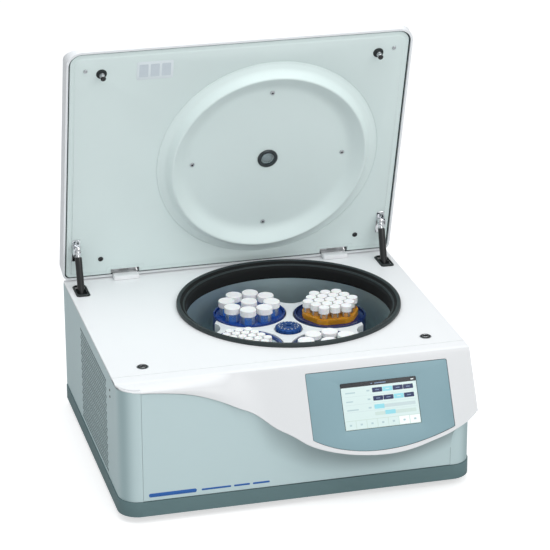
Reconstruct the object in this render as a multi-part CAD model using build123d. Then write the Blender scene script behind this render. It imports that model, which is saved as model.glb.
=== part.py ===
from build123d import *
import math
import os

# Refrigerated benchtop centrifuge with a swing-bucket rotor, lid standing open.
# Frame: origin on the bench under the centre of the housing footprint, +Z up,
# +Y towards the rear (lid hinges), +X towards the right as the user faces it.
# All sizes in millimetres.

os.makedirs("parts", exist_ok=True)

# ---------------------------------------------------------------- driving dimensions
HALF_W = 357.5                  # half width of the housing
Y_FRONT, Y_REAR = -298.0, 298.0
Z_TRAY, T_TRAY = 14.0, 3.0      # underside and thickness of the base tray
Z_BAND = 45.0                   # top of the tray's upstanding band
Z_MOUNT = Z_TRAY + T_TRAY + 0.2  # underside of whatever stands on the tray
Z_DECK, T_DECK = 283.6, 4.0     # top face of the deck and its thickness
Y_SEAM = -229.0                 # joint between deck and fascia
R_CORNER = 40.0                 # vertical front corners of the housing
SEAM_L, SEAM_R = -315.0, 311.0  # joints between front cover and side panels
ROTOR_X, ROTOR_Y = 70.0, 48.0   # rotor and chamber axis
R_BOWL, Z_BOWL = 217.0, 104.0   # chamber: inside radius, inside floor
HINGE_Y, HINGE_Z = 296.0, 310.3  # lid pivot axis (parallel to X)
HINGES = (-226.0, 235.5)        # hinge centres along X
R_KNUCKLE, R_HINGE_PIN, R_HINGE_BORE = 8.0, 3.0, 3.3
LID_OPEN = 74.34                # lid opening angle, degrees
LID_HALF_W = 361.0
LID_FRONT, LID_REAR = -246.0, 315.5  # lid shell edges when closed
Z_PANEL = 297.6                 # inner face of the closed lid
Z_FIXING = Z_PANEL - 0.2        # seat of the fittings on that face
LID_TOP = 345.0                 # outside face of the closed lid
SLOPE = math.radians(28.8)      # fascia slope from the vertical
ROTOR_TURN = -16.5              # rest position of the rotor, degrees
R_PIVOT, Z_PIVOT = 121.0, 218.0  # bucket trunnion radius and height
STRUT_X = 332.0                 # struts, either side
BALL_Y, BALL_Z = 230.9, 284.4   # ball stud centre with the lid closed
FOOT_Y, FOOT_Z = 160.0, 74.0    # lower strut pivot
LATCH_X, LATCH_Y = 289.0, -192.0
LATCH_TRAVEL = 8.0
FAN_X, FAN_Y, FAN_Z = -285.0, -50.0, 150.0
SIDES = (-1, 1)


# ---------------------------------------------------------------- helpers
def save(name, *shapes):
    solids = [solid for shape in shapes for solid in shape.solids()]
    out = Compound(solids) if len(solids) > 1 else solids[0]
    out.label = name
    export_step(out, "parts/" + name + ".step")


def box(x0, x1, y0, y1, z0, z1):
    """A box between limits; x0 and x1 may come in either order."""
    return Pos((x0 + x1) / 2, (y0 + y1) / 2, (z0 + z1) / 2) * Box(abs(x1 - x0), y1 - y0, z1 - z0)


def cyl(x, y, z0, z1, radius):
    return Pos(x, y, (z0 + z1) / 2) * Cylinder(radius, z1 - z0)


def xcyl(x0, x1, y, z, radius):
    """A cylinder along X; x0 and x1 may come in either order."""
    return Pos((x0 + x1) / 2, y, z) * Rot(0, 90, 0) * Cylinder(radius, abs(x1 - x0))


def ycyl(x, y, z, radius, length):
    """A cylinder along Y, centred on the point."""
    return Pos(x, y, z) * Rot(90, 0, 0) * Cylinder(radius, length)


def turned(profile, x=0.0, y=0.0):
    """A (radius, z) profile revolved about the vertical through x, y."""
    return Pos(x, y, 0) * revolve(Plane.XZ * make_face(Polyline(*profile, close=True)), Axis.Z)


def plan(half_w, y0, y1, r_front, r_rear):
    """A rectangle centred on x = 0 with rounded front and rear corners."""
    sketch = Pos(0, (y0 + y1) / 2) * Rectangle(2 * half_w, y1 - y0)
    if r_front:
        sketch = fillet(sketch.vertices().group_by(Axis.Y)[0], r_front)
    if r_rear:
        sketch = fillet(sketch.vertices().group_by(Axis.Y)[-1], r_rear)
    return sketch


def prism(sketch, z0, z1):
    return Pos(0, 0, z0) * extrude(sketch, z1 - z0)


def side_prism(pts, x0, x1):
    """A (y, z) polygon extruded between x0 and x1, given in either order."""
    face = Plane.YZ * make_face(Polyline(*pts, close=True))
    return Pos(min(x0, x1), 0, 0) * extrude(face, abs(x1 - x0))


def triangle(a, b, c):
    return Face(Wire.make_polygon([a, b, c], close=True))


def skin(section, stations):
    """Faceted solid through section(x) at each station.

    Each section is an outer line followed by its inner line reversed, in (y, z)."""
    loops = [[Vector(x, y, z) for y, z in section(x)] for x in stations]
    faces = []
    n = len(loops[0])
    for p, q in zip(loops, loops[1:]):
        for i in range(n):
            j = (i + 1) % n
            faces.append(triangle(p[i], p[j], q[j]))
            faces.append(triangle(p[i], q[j], q[i]))
    for end in (loops[0], loops[-1]):
        for i in range(n // 2 - 1):
            a, b, c, d = end[i], end[i + 1], end[n - 2 - i], end[n - 1 - i]
            faces.append(triangle(a, b, c))
            faces.append(triangle(a, c, d))
    out = Solid(Shell(faces))
    if out.volume < 0:          # inside out: turn every facet over
        out = Solid(Shell([-f for f in faces]))
    return Part(out.wrapped)


def interp(table, x):
    """Linear interpolation in a table whose first column is x."""
    for a, b in zip(table, table[1:]):
        if x <= b[0]:
            t = (x - a[0]) / (b[0] - a[0])
            return tuple(p + (q - p) * t for p, q in zip(a[1:], b[1:]))
    return table[-1][1:]


def bezier(start, control, end):
    """Seven points along a quadratic curve."""
    return [tuple((1 - t) ** 2 * a + 2 * t * (1 - t) * c + t * t * b
                  for a, c, b in zip(start, control, end))
            for t in (i / 6 for i in range(7))]


def lid(shape):
    """Swing a shape modelled with the lid closed to the open position."""
    return shape.rotate(Axis((0, HINGE_Y, HINGE_Z), (-1, 0, 0)), LID_OPEN)


def rotor(shape, turn=0.0):
    """Place a shape modelled about the origin on the resting rotor."""
    return Pos(ROTOR_X, ROTOR_Y, 0) * Rot(0, 0, ROTOR_TURN + turn) * shape


# ---------------------------------------------------------------- fascia
SIN_SLOPE, COS_SLOPE = math.sin(SLOPE), math.cos(SLOPE)
TOP_Y, TOP_Z = -261.0, 283.0    # where the slope leaves the ridge
T_FASCIA = 3.4
LIP_BLEND, BLEND_LENGTH = -92.0, 140.0  # the lip leaves the slope's plane left of this x
# lower edge of the fascia: x, y, z
LIP = [(-357.5, -261.0, 279.2), (-352.0, -278.0, 278.4), (-340.0, -291.0, 277.0),
       (-325.0, -298.0, 276.0), (-300.0, -299.5, 274.6), (-265.0, -299.5, 270.5),
       (-230.0, -299.5, 264.9), (-196.0, -300.0, 255.8), (-160.0, -301.5, 242.0),
       (-126.0, -304.0, 225.5), (-92.0, -309.5, 208.8), (-55.0, -317.4, 180.5),
       (-23.0, -326.8, 163.3), (9.0, -337.6, 143.6), (42.6, -344.5, 131.2),
       (77.0, -349.1, 122.8), (112.0, -352.1, 117.4), (147.0, -353.5, 114.7),
       (183.0, -353.3, 115.0), (220.0, -350.9, 119.5), (257.0, -346.2, 128.0),
       (295.0, -340.7, 138.0), (334.0, -331.9, 154.0), (350.0, -326.2, 164.4),
       (357.5, -323.2, 169.9)]
STATIONS = [row[0] for row in LIP]
# display bezel outline in the slope's plane: straight top, sagging lower edge
BEZEL = [(17.5, -19.5), (306.5, -19.5), (306.0, -153.0), (281.0, -161.5), (226.0, -175.5),
         (172.0, -182.0), (120.0, -181.2), (70.0, -172.0), (17.5, -150.0)]
BEZEL_CENTRE = (162.0, -100.0)
SCREEN_X0, SCREEN_X1 = 84.0, 239.5     # touch screen, in the slope's plane
SCREEN_Y0, SCREEN_Y1 = -139.0, -46.5
SLOPE_PLANE = Plane(origin=(0, TOP_Y, TOP_Z), x_dir=(1, 0, 0), z_dir=(0, -COS_SLOPE, SIN_SLOPE))


def lip_at(x):
    y, z = interp(LIP, x)
    if x >= LIP_BLEND:          # this part of the edge lies in the slope's plane
        y = TOP_Y - (TOP_Z - z) / COS_SLOPE * SIN_SLOPE
    return y, z


def fascia_outer(x):
    """Outside line from the deck seam over the ridge to the lip."""
    lip_y, lip_z = lip_at(x)
    blend = min(1.0, max(0.0, (LIP_BLEND - x) / BLEND_LENGTH))
    blend = blend * blend * (3 - 2 * blend)
    ridge_y = max(TOP_Y, lip_y + 5.0)
    start = (ridge_y - 1.5, Z_DECK - 3.3 + 2.2 * blend)
    mid_y, mid_z = (start[0] + lip_y) / 2, (start[1] + lip_z) / 2
    control = (mid_y + (lip_y + 1.0 - mid_y) * blend, mid_z + (Z_DECK - 1.0 - mid_z) * blend)
    return [(Y_SEAM - 0.3, Z_DECK), (ridge_y + 5.0, Z_DECK), (ridge_y + 1.2, Z_DECK - 0.5),
            *bezier(start, control, (lip_y, lip_z))]


def inward(pts, distance):
    """Offset an open (y, z) line towards the inside of the housing."""
    out = []
    for i, (y, z) in enumerate(pts):
        a, b = pts[max(0, i - 1)], pts[min(len(pts) - 1, i + 1)]
        dy, dz = b[0] - a[0], b[1] - a[1]
        length = math.hypot(dy, dz)
        out.append((y - dz / length * distance, z + dy / length * distance))
    return out


def fascia_section(x):
    outer = fascia_outer(x)
    inner = inward(outer, T_FASCIA)
    inner[0] = (outer[0][0], inner[0][1])
    return outer + inner[::-1]


def visor_section(x):
    y, z = lip_at(x)
    return [(y + 0.4, z + 0.6), (-266.0, z + 26.0), (-266.0, z + 29.4), (y + 2.6, z + 4.4)]


def bezel_face(gap):
    """The bezel outline with its corners pushed out from the centre by gap."""
    x0, y0 = BEZEL_CENTRE
    pts = []
    for x, y in BEZEL:
        reach = math.hypot(x - x0, y - y0)
        pts.append((x + (x - x0) / reach * gap, y + (y - y0) / reach * gap))
    return make_face(Polyline(*pts, close=True))


def make_fascia():
    body = skin(fascia_section, STATIONS)
    # cheek closes the right end; the visor runs back from the lip beside it
    cheek = side_prism(fascia_outer(HALF_W) + [(-304, 178), (-284, 192), (-262, 214), (-244, 240),
                                               (Y_SEAM - 0.3, 264)], HALF_W - T_FASCIA, HALF_W)
    visor = skin(visor_section, (SEAM_R + 0.5, 334.0, 350.0, HALF_W - 1.0))
    opening = SLOPE_PLANE * extrude(bezel_face(0.6), 12, both=True)
    return body + cheek + visor - opening


def save_display():
    width, height = SCREEN_X1 - SCREEN_X0, SCREEN_Y1 - SCREEN_Y0
    x, y = (SCREEN_X0 + SCREEN_X1) / 2, (SCREEN_Y0 + SCREEN_Y1) / 2
    bezel = extrude(bezel_face(0.0), -3.2)
    window = Pos(x, y, 0) * RectangleRounded(width + 0.6, height + 0.6, 2.5)
    bezel = bezel - extrude(window, 10, both=True)
    save("display_bezel", SLOPE_PLANE * (Pos(0, 0, -0.4) * bezel))
    screen = Pos(x, y, -3.4) * extrude(RectangleRounded(width, height, 2.2), 2.4)
    save("touch_screen", SLOPE_PLANE * screen)


fascia = make_fascia()
save("fascia", fascia)
save_display()

# ---------------------------------------------------------------- front cover
# where the front cover starts to sweep out towards the lip: x, z
FLARE = [(-357.5, 262.0), (-230.0, 250.0), (-150.0, 214.0), (-120.0, 176.0), (-78.0, 126.0),
         (-31.0, 94.0), (41.0, 64.0), (127.0, 54.0), (220.0, 58.0), (300.0, 80.0), (357.5, 112.0)]


def cover_outer(x):
    lip_y, lip_z = lip_at(x)
    top_y, top_z = lip_y + 4.2 * COS_SLOPE, lip_z - 4.2 * SIN_SLOPE
    flare_z = min(interp(FLARE, x)[0], top_z - 4.0)
    if top_y > Y_FRONT - 0.5:
        top_y = Y_FRONT - 0.5
        top_z = lip_z - 1.0
    start = (Y_FRONT, flare_z)
    control = (Y_FRONT, flare_z + 0.62 * (top_z - flare_z))
    return [(Y_FRONT, Z_BAND + 0.5), start, *bezier(start, control, (top_y, top_z))[1:]]


def cover_section(x):
    outer = cover_outer(x)
    inner = [(y + 3.0, z + (0.0 if k < 2 else 2.4 * (k - 1) / 6))
             for k, (y, z) in enumerate(outer)]
    if x <= -110.0:             # keep the inner line below the top of the outer one
        top_z = outer[-1][1]
        inner[-1] = (inner[-1][0], top_z)
        inner[-2] = (inner[-2][0], min(inner[-2][1], top_z - 0.6))
    return outer + inner[::-1]


cover_stations = [SEAM_L + 0.5, *[x for x in STATIONS if SEAM_L < x < SEAM_R], SEAM_R - 0.5]
cover = skin(cover_section, cover_stations) - fascia
save("front_cover", cover.solids().sort_by(SortBy.VOLUME)[-1])


# ---------------------------------------------------------------- base, side and rear panels
def base_tray():
    tray = prism(plan(HALF_W + 2, Y_FRONT - 2, Y_REAR, 42, 6), Z_TRAY, Z_BAND)
    tray = tray - prism(plan(HALF_W - 1, Y_FRONT + 1, Y_REAR - 3, 39, 4),
                        Z_TRAY + T_TRAY, Z_BAND + 1)
    for i in range(8):
        x = -120 + i * 22
        tray = tray - box(x, x + 12, 180, 260, Z_TRAY - 1, Z_TRAY + 4)
    return tray


def perforations(x0, x1):
    """Staggered round holes through a side panel."""
    pitch = 12.0
    spots = [(-173.0 + pitch * (col + row % 2 / 2), 62.0 + row * pitch * 0.866)
             for row in range(20) for col in range(23)]
    sketch = Sketch() + [Pos(y, z) * Circle(3.9) for y, z in spots]
    return Pos(x0, 0, 0) * extrude(Plane.YZ * sketch, x1 - x0)


def side_wall():
    """Wall round the front and both sides, cut up into the side panels."""
    outer = prism(plan(HALF_W, Y_FRONT, Y_REAR, R_CORNER, 0), Z_BAND + 0.4, Z_DECK - T_DECK - 0.4)
    return outer - prism(plan(HALF_W - 2.5, Y_FRONT + 2.5, Y_REAR + 5, R_CORNER - 2.5, 0),
                         Z_BAND, Z_DECK)


def left_side_panel(wall):
    panel = wall & box(-HALF_W - 1, SEAM_L, Y_FRONT - 1, Y_REAR, 0, 400)
    under_fascia = [(-400, 271.5), (Y_SEAM + 6, 271.5), (Y_SEAM + 6, 300), (-400, 300)]
    panel = panel - side_prism(under_fascia, -360, SEAM_L + 5)
    return panel - perforations(-HALF_W - 3, -HALF_W + 6)


def right_side_panel(wall):
    panel = wall & box(SEAM_R, HALF_W + 1, Y_FRONT - 1, Y_REAR, 0, 400)
    under_cheek = [(-400, 148), (-300, 160), (-284, 189), (-262, 211), (-242, 237),
                   (Y_SEAM + 1, 260), (Y_SEAM + 1, 300), (-400, 300)]
    panel = panel - side_prism(under_cheek, HALF_W - 10, 370)
    under_visor = [(-400, 137), (-262, 137), (-262, 300), (-400, 300)]
    panel = panel - side_prism(under_visor, SEAM_R - 5, HALF_W - 9)
    panel = panel - perforations(HALF_W - 6, HALF_W + 3)
    return (panel - fascia).solids().sort_by(SortBy.VOLUME)[-1]


INLET_X0, INLET_X1, INLET_Z0, INLET_Z1 = -300.0, -235.0, 78.0, 126.0


def rear_panel():
    panel = box(-354.3, 354.3, 293.5, 296.5, Z_BAND + 0.4, Z_DECK - T_DECK - 0.6)
    for i in range(14):
        x = -60 + i * 18
        panel = panel - box(x, x + 8, 290, 300, 90, 230)
    return panel - box(INLET_X0 - 0.4, INLET_X1 + 0.4, 290, 300, INLET_Z0 - 0.4, INLET_Z1 + 0.4)


def mains_inlet():
    inlet = box(INLET_X0, INLET_X1, 262, 296.8, INLET_Z0, INLET_Z1)
    inlet = inlet + box(INLET_X0 - 4, INLET_X1 + 4, 296.7, 299.0, INLET_Z0 - 4, INLET_Z1 + 4)
    # socket recess and switch recess, then the three contact blades
    inlet = inlet - box(-296, -269, 272, 300, 90, 114) - box(-262.5, -240.5, 279, 300, 89, 115)
    for x, z in ((-291, 100), (-283.5, 94), (-276, 100)):
        inlet = inlet + box(x, x + 2, 271, 290, z, z + 7)
    return inlet


def power_switch():
    rocker = side_prism([(289.5, 92.6), (299.5, 92.2), (298.2, 102), (302.2, 111.6),
                         (289.5, 111.6), (286, 102)], -261.5, -241.5)
    return rocker + xcyl(-262.2, -240.8, 291, 102, 2.2)


save("base_tray", base_tray())
FOOT = [(0, 0), (24, 0), (26, 2), (23, Z_TRAY), (0, Z_TRAY)]
save("feet", *[turned(FOOT, x, y) for x in (-290, 290) for y in (-235, 235)])
wall = side_wall()
save("left_side_panel", left_side_panel(wall))
save("right_side_panel", right_side_panel(wall))
save("rear_panel", rear_panel())
save("mains_inlet", mains_inlet())
save("power_switch", power_switch())


# ---------------------------------------------------------------- deck and chamber
def top_deck():
    deck = prism(plan(HALF_W, Y_SEAM, Y_REAR, 0, 5), Z_DECK - T_DECK, Z_DECK)
    deck = deck - cyl(ROTOR_X, ROTOR_Y, 200, 400, R_BOWL + 5)
    for side in SIDES:
        # latch hole, pocket under it for the sliding plate, and strut opening
        x = side * LATCH_X
        deck = deck - cyl(x, LATCH_Y, 200, 400, 8.2)
        deck = deck - box(x - 19, x + 21, -208, -181, 270, Z_DECK - 2.0)
        x = side * STRUT_X
        deck = deck - box(x - 12, x + 12, 199, 253, 270, 290)
    return deck


# chamber profiles: radius, z
GASKET = [(232, 283.8), (232, 290.5), (229.5, 293), (226, 293), (221, 291), (R_BOWL, 287.5),
          (215, 283.5), (212.5, 281.5), (212, 279), (212, 270), (213.5, 268.2), (221.5, 268.2),
          (221.5, 283.8)]
BOWL = [(230, 267.8), (R_BOWL, 267.8), (R_BOWL, 128), (213, 114), (203, 106.5), (190, Z_BOWL),
        (60, Z_BOWL), (44, 112), (26, 114), (26, 112.5), (43, 110.5), (59, Z_BOWL - 1.5),
        (190.5, Z_BOWL - 1.5), (204, 105), (214.3, 113), (R_BOWL + 1.5, 127.5),
        (R_BOWL + 1.5, 266.3), (230, 266.3)]
INSULATION = [(228.6, 262), (228.6, 116), (222, 100), (170, 99.5), (170, 90), (226, 90),
              (238, 96), (244, 108), (244, 262)]

save("top_deck", top_deck())
save("chamber_gasket", turned(GASKET, ROTOR_X, ROTOR_Y))
save("chamber_bowl", turned(BOWL, ROTOR_X, ROTOR_Y))
save("chamber_insulation", turned(INSULATION, ROTOR_X, ROTOR_Y))


# ---------------------------------------------------------------- cooling and electrics
def evaporator_coil():
    """Seven rings round the bowl, with short uprights between them."""
    radius = 223.8
    coil = []
    for i in range(7):
        z = 135 + 20 * i
        coil.append(Pos(ROTOR_X, ROTOR_Y, z) * Torus(radius, 3.8))
        if i:
            coil.append(cyl(ROTOR_X - radius, ROTOR_Y, z - 16.0, z - 4.0, 2.6))
    return coil


def compressor():
    body = turned([(0, 24), (58, 24), (62, 34), (62, 150), (54, 172), (34, 184), (0, 187)],
                  -245, 190)
    body = body + box(-320, -170, 150, 230, 20, 24)
    return body + [cyl(x, y, Z_MOUNT, 21, 9) for x in (-310, -180) for y in (158, 222)]


def condenser_coil():
    x0, x1, y0, y1 = -340, -312, -190, 90
    coil = box(x0, x1, y0, y1, 40, 43) + box(x0, x1, y0, y1, 247, 250)
    for i in range(24):
        y = y0 + 2 + i * 12
        coil = coil + box(x0, x1, y, y + 1.2, 43, 247)
    for z in (70, 110, 150, 190, 230):
        coil = coil + ycyl((x0 + x1) / 2, (y0 + y1) / 2, z, 4.5, 290)
    return coil + box(x0 + 4, x1 - 4, y0, y1, Z_MOUNT, 40)


def fan_shroud():
    x, y, z = FAN_X, FAN_Y, FAN_Z
    shroud = box(x + 8, x + 22, y - 84, y + 84, z - 84, z + 84) - xcyl(x, x + 30, y, z, 76)
    shroud = shroud + box(x + 16, x + 22, y - 80, y + 80, z - 6, z + 6)
    shroud = shroud + box(x + 16, x + 22, y - 6, y + 6, z - 80, z + 80)
    shroud = shroud + xcyl(x + 12, x + 40, y, z, 22)
    return shroud + box(x + 8, x + 22, y - 84, y + 84, Z_MOUNT, z - 84)


def condenser_fan():
    fan = xcyl(FAN_X - 14, FAN_X + 11, FAN_Y, FAN_Z, 19)
    blade = Pos(0, 45, 0) * Rot(0, 24, 0) * Box(2.2, 56, 26)
    for i in range(7):
        fan = fan + Pos(FAN_X - 2, FAN_Y, FAN_Z) * Rot(i * 360 / 7, 0, 0) * blade
    return fan


def power_supply():
    supply = box(-210, -40, -286, -216, Z_MOUNT, 110)
    for i in range(7):
        x = -200 + i * 22
        supply = supply - box(x, x + 10, -276, -226, 104, 112)
    return supply


def control_board():
    board = box(20, 290, -284, -282.2, 58, 168)
    # components: x, z, width, height
    for x, z, width, height in ((60, 90, 34, 34), (130, 120, 26, 26), (200, 84, 50, 18),
                                (250, 130, 20, 44)):
        board = board + box(x, x + width, -282.3, -276, z, z + height)
    for x in (28, 282):
        board = board + box(x - 5, x + 5, -290, -283, Z_MOUNT, 62)
    return board


save("evaporator_coil", *evaporator_coil())
save("compressor", compressor())
save("condenser_coil", condenser_coil())
save("fan_shroud", fan_shroud())
save("condenser_fan", condenser_fan())
save("power_supply", power_supply())
save("control_board", control_board())


# ---------------------------------------------------------------- drive
def motor_housing():
    motor = turned([(0, 24), (62, 24), (66, 30), (66, 40), (88, 46), (90, 52), (90, 92), (84, 98),
                    (13.0, 98), (13.0, 58), (0, 58)], ROTOR_X, ROTOR_Y)
    motor = motor + prism(Pos(ROTOR_X, ROTOR_Y) * RectangleRounded(230, 230, 24), 40.2, 46)
    for i in range(12):
        motor = motor - Pos(ROTOR_X, ROTOR_Y, 72) * Rot(0, 0, i * 30) * Pos(90, 0, 0) * Box(8, 8, 34)
    return motor


DAMPER = [(0, Z_MOUNT), (19, Z_MOUNT), (19, 21), (14, 28), (19, 36), (19, 40), (0, 40)]
SHAFT = [(0, 60), (11, 60), (11, 112), (20, 116), (20, 120), (11, 124), (11, 206), (8, 206),
         (8, 231), (0, 231)]
save("motor_housing", motor_housing())
save("motor_dampers", *[turned(DAMPER, ROTOR_X + i * 95, ROTOR_Y + j * 95)
                        for i in SIDES for j in SIDES])
save("motor_shaft", turned(SHAFT, ROTOR_X, ROTOR_Y))


# ---------------------------------------------------------------- rotor
def rotor_cross():
    hub = turned([(11.4, 196), (40, 196), (46, 202), (46, 219), (42, 222.5), (8.4, 222.5),
                  (8.4, 206.4), (11.4, 206.4)])
    web = Circle(157.5) - Circle(30)
    for i in range(4):
        web = web - Rot(0, 0, 45 + 90 * i) * Pos(R_PIVOT, 0) * Circle(79.0)
        web = web - Rot(0, 0, 90 * i) * Pos(176, 0) * Circle(34)
    cross = hub + prism(web, 204, 226)
    for i in range(4):
        for side in SIDES:
            trunnion = ycyl(R_PIVOT, side * 78.5, Z_PIVOT, 6.0, 13.0)
            cross = cross + Rot(0, 0, 45 + 90 * i) * trunnion
    return cross


def rotor_nut():
    nut = turned([(8.3, 222.8), (24, 222.8), (28, 225), (28, 231), (25.5, 233.4), (12, 234.4),
                  (0, 234.4), (0, 231.4), (8.3, 231.4)])
    for i in range(10):
        nut = nut - Rot(0, 0, 36 * i) * Pos(30.5, 0, 228) * Cylinder(4.2, 20)
    return nut


save("rotor_cross", rotor(rotor_cross()))
save("rotor_nut", rotor(rotor_nut()))


# ---------------------------------------------------------------- buckets and their loads
def bucket_plan(inset):
    return Pos(R_PIVOT, 0) * RectangleRounded(2 * (71 - inset), 2 * (76 - inset), 68 - inset)


def base_plan(inset):
    return Pos(R_PIVOT, 0) * RectangleRounded(2 * (64 - inset), 2 * (62 - inset), 58 - inset)


def cup(base_inset, z_base, inset, z_wall, z_top):
    """Solid bucket form: tapered base, then straight wall."""
    taper = loft([Pos(0, 0, z_base) * base_plan(base_inset), Pos(0, 0, z_wall) * bucket_plan(inset)])
    return taper + prism(bucket_plan(inset), z_wall, z_top)


def bucket():
    rim = 228.0
    shell = cup(0, 150, 0, 172, rim) - cup(3.0, 153, 3.5, 174, rim + 1)
    for side in SIDES:
        shell = shell - ycyl(R_PIVOT, side * 76, Z_PIVOT, 6.5, 14)
    return shell


def holes(spots, radius):
    return Sketch() + [Pos(R_PIVOT + x, y) * Circle(radius) for x, y in spots]


def rack(top, spots, radius):
    return cup(4.4, 153.3, 4.9, 175, top) - prism(holes(spots, radius), 156.0, top + 1)


def raised_rack(spots, radius):
    """A rack with a hexagonal block standing above it."""
    block = Pos(R_PIVOT, 0) * (Circle(59.3) & RegularPolygon(65, 6, rotation=30))
    return rack(224, spots, radius) + (prism(block, 223, 236) - prism(holes(spots, radius), 220, 240))


Z_TUBE = 157.0                  # underside of tubes and vials


def tube(radius, top, wall=1.2, cone=10.0):
    z_wall = Z_TUBE + cone
    return [(0, Z_TUBE), (radius * 0.35, Z_TUBE), (radius, z_wall), (radius, top),
            (radius - wall, top), (radius - wall, z_wall + 1), (radius * 0.3, Z_TUBE + 2.0),
            (0, Z_TUBE + 2.0)]


def cap(radius, bore, z0, z1):
    return [(bore, z0), (radius, z0), (radius, z1 - 1.2), (radius - 1.2, z1), (0, z1),
            (0, z1 - 2.0), (bore, z1 - 2.0)]


def vial(radius, r_cap, z_cap, top):
    return [(0, Z_TUBE), (radius - 4, Z_TUBE), (radius, 164), (radius, z_cap), (r_cap, z_cap),
            (r_cap, top - 1.2), (r_cap - 1.2, top), (0, top)]


def hex_rows(rows, pitch):
    """Spots in rows, each row given as (x, count) and centred on y = 0."""
    return [(x, (i - (count - 1) / 2) * pitch) for x, count in rows for i in range(count)]


def save_group(name, profile, spots, turn):
    one = turned(profile)
    save(name, *[rotor(Pos(R_PIVOT + x, y, 0) * one, turn) for x, y in spots])


# hole patterns, relative to the bucket centre
RING9 = [(0.0, 0.0)] + [(47.6 * math.cos(math.radians(a)), 47.6 * math.sin(math.radians(a)))
                        for a in range(0, 360, 45)]
HEX19 = hex_rows(((-41.6, 3), (-20.8, 4), (0.0, 5), (20.8, 4), (41.6, 3)), 24.0)
HEX24 = hex_rows(((-34.0, 4), (-17.0, 5), (0.0, 6), (17.0, 5), (34.0, 4)), 19.6)

BUCKET_TURNS = REAR_LEFT, REAR_RIGHT, FRONT_LEFT, FRONT_RIGHT = 135.0, 45.0, 225.0, -45.0
pail = bucket()
for number, turn in enumerate(BUCKET_TURNS, 1):
    save("bucket_%d" % number, rotor(pail, turn))
# 50 mL tubes
save("rack_1", rotor(rack(224, RING9, 14.95), REAR_LEFT))
save_group("tubes_1", tube(14.5, 251), RING9, REAR_LEFT)
save_group("caps_1", cap(17.2, 14.9, 241.5, 254.5), RING9, REAR_LEFT)
# 15 mL tubes
save("rack_2", rotor(raised_rack(HEX19, 8.7), REAR_RIGHT))
save_group("tubes_2", tube(8.3, 257, wall=1.0, cone=14.0), HEX19, REAR_RIGHT)
save_group("caps_2", cap(11.2, 8.6, 247.5, 260.5), HEX19, REAR_RIGHT)
# small vials
save("rack_3", rotor(rack(222, HEX24, 7.6), FRONT_LEFT))
save_group("vials_3", vial(7.2, 8.8, 232, 244), HEX24, FRONT_LEFT)
# wide-cap bottles
save("rack_4", rotor(rack(222, RING9, 14.95), FRONT_RIGHT))
save_group("vials_4", vial(14.5, 17.2, 230, 239), RING9, FRONT_RIGHT)


# ---------------------------------------------------------------- latch
def latch_bar():
    """Cross bar with a keyhole plate at each end."""
    bar = box(-LATCH_X - 17, LATCH_X + 11, -206, -200, 275.0, 279.4)
    for side in SIDES:
        x = side * LATCH_X
        plate = box(x - 17, x + 11, -206, -183, 279.4, 281.3)
        plate = plate - cyl(x, LATCH_Y, 270, 290, 6.0)
        plate = plate - box(x - LATCH_TRAVEL, x, LATCH_Y - 3.9, LATCH_Y + 3.9, 270, 290)
        plate = plate - cyl(x - LATCH_TRAVEL, LATCH_Y, 270, 290, 3.9)
        bar = bar + plate
    return bar


def at_latches(profile):
    return [turned(profile, side * LATCH_X, LATCH_Y) for side in SIDES]


RECEIVER = [(6.4, 281.8), (7.9, 281.8), (7.9, 283.8), (10.5, 283.8), (10.5, 285.0), (9.5, 285.6),
            (6.9, 285.6), (6.4, 285.0)]
save("latch_receivers", *at_latches(RECEIVER))
save("latch_bar", latch_bar())


# ---------------------------------------------------------------- hinges
def hinge_barrel(x0, x1, radius):
    return xcyl(x0, x1, HINGE_Y, HINGE_Z, radius)


def hinge_bracket(x):
    bracket = box(x - 27, x + 27, 268, 312, Z_DECK + 0.2, 292.6)
    for side in SIDES:
        x0, x1 = x + side * 10.5, x + side * 27
        ear = box(x0, x1, 303.5, 312, 292, 318) + hinge_barrel(x0, x1, R_KNUCKLE)
        ear = ear + box(x0, x1, 296, 305, 302.4, 318)
        bracket = bracket + ear
    return bracket - hinge_barrel(x - 40, x + 40, R_HINGE_BORE)


def hinge_leaf(x):
    x0, x1 = x - 9.8, x + 9.8
    leaf = hinge_barrel(x0, x1, R_KNUCKLE) + box(x0, x1, 262, HINGE_Y, 304, 312)
    leaf = leaf + box(x0, x1, 262, 282, 300.9, 306)
    leaf = leaf + box(x - 26, x + 26, 262, 276, 300.9, 304.5)
    return leaf - hinge_barrel(x - 20, x + 20, R_HINGE_BORE)


save("deck_hinge_brackets", *[hinge_bracket(x) for x in HINGES])
save("hinge_pins", *[hinge_barrel(x - 28.0, x + 28.0, R_HINGE_PIN) for x in HINGES])
save("lid_hinge_leaves", *[lid(hinge_leaf(x)) for x in HINGES])

# ---------------------------------------------------------------- lid (modelled closed)
# roof line sloping down to a thin front lip: y back from the front edge, z
BROW = [(-3.0, 306.5), (0.0, 308.6), (5.0, 312.6), (12.0, 317.9), (20.0, 323.7), (29.0, 329.6),
        (39.0, 335.2), (50.0, 340.0), (62.0, 343.6), (76.0, 345.6)]
# raised ring on the inner panel: radius, z
PANEL_RING = [(231.5, Z_PANEL), (230, 296.2), (226.5, 294.3), (221.5, 292.2), (217.8, 289.2),
              (215.2, 285.4), (212.6, 281.9), (210.6, 279.0), (209.0, 277.4), (207.2, 276.9),
              (205.0, 277.4), (199, 281.6), (191, 287.6), (183, 293.2), (177, 296.4),
              (172, Z_PANEL), (172, Z_PANEL + 3), (231.5, Z_PANEL + 3)]
# screws: x, y, head radius
SCREWS = [(ROTOR_X + 162 * math.cos(math.radians(a)), ROTOR_Y + 162 * math.sin(math.radians(a)), 5.0)
          for a in (0, 90, 180, 270)]
SCREWS += [(side * 322.0, -201.0, 4.2) for side in SIDES]
SCREWS += [(side * 280.0, 268.5, 5.6) for side in SIDES]


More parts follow.
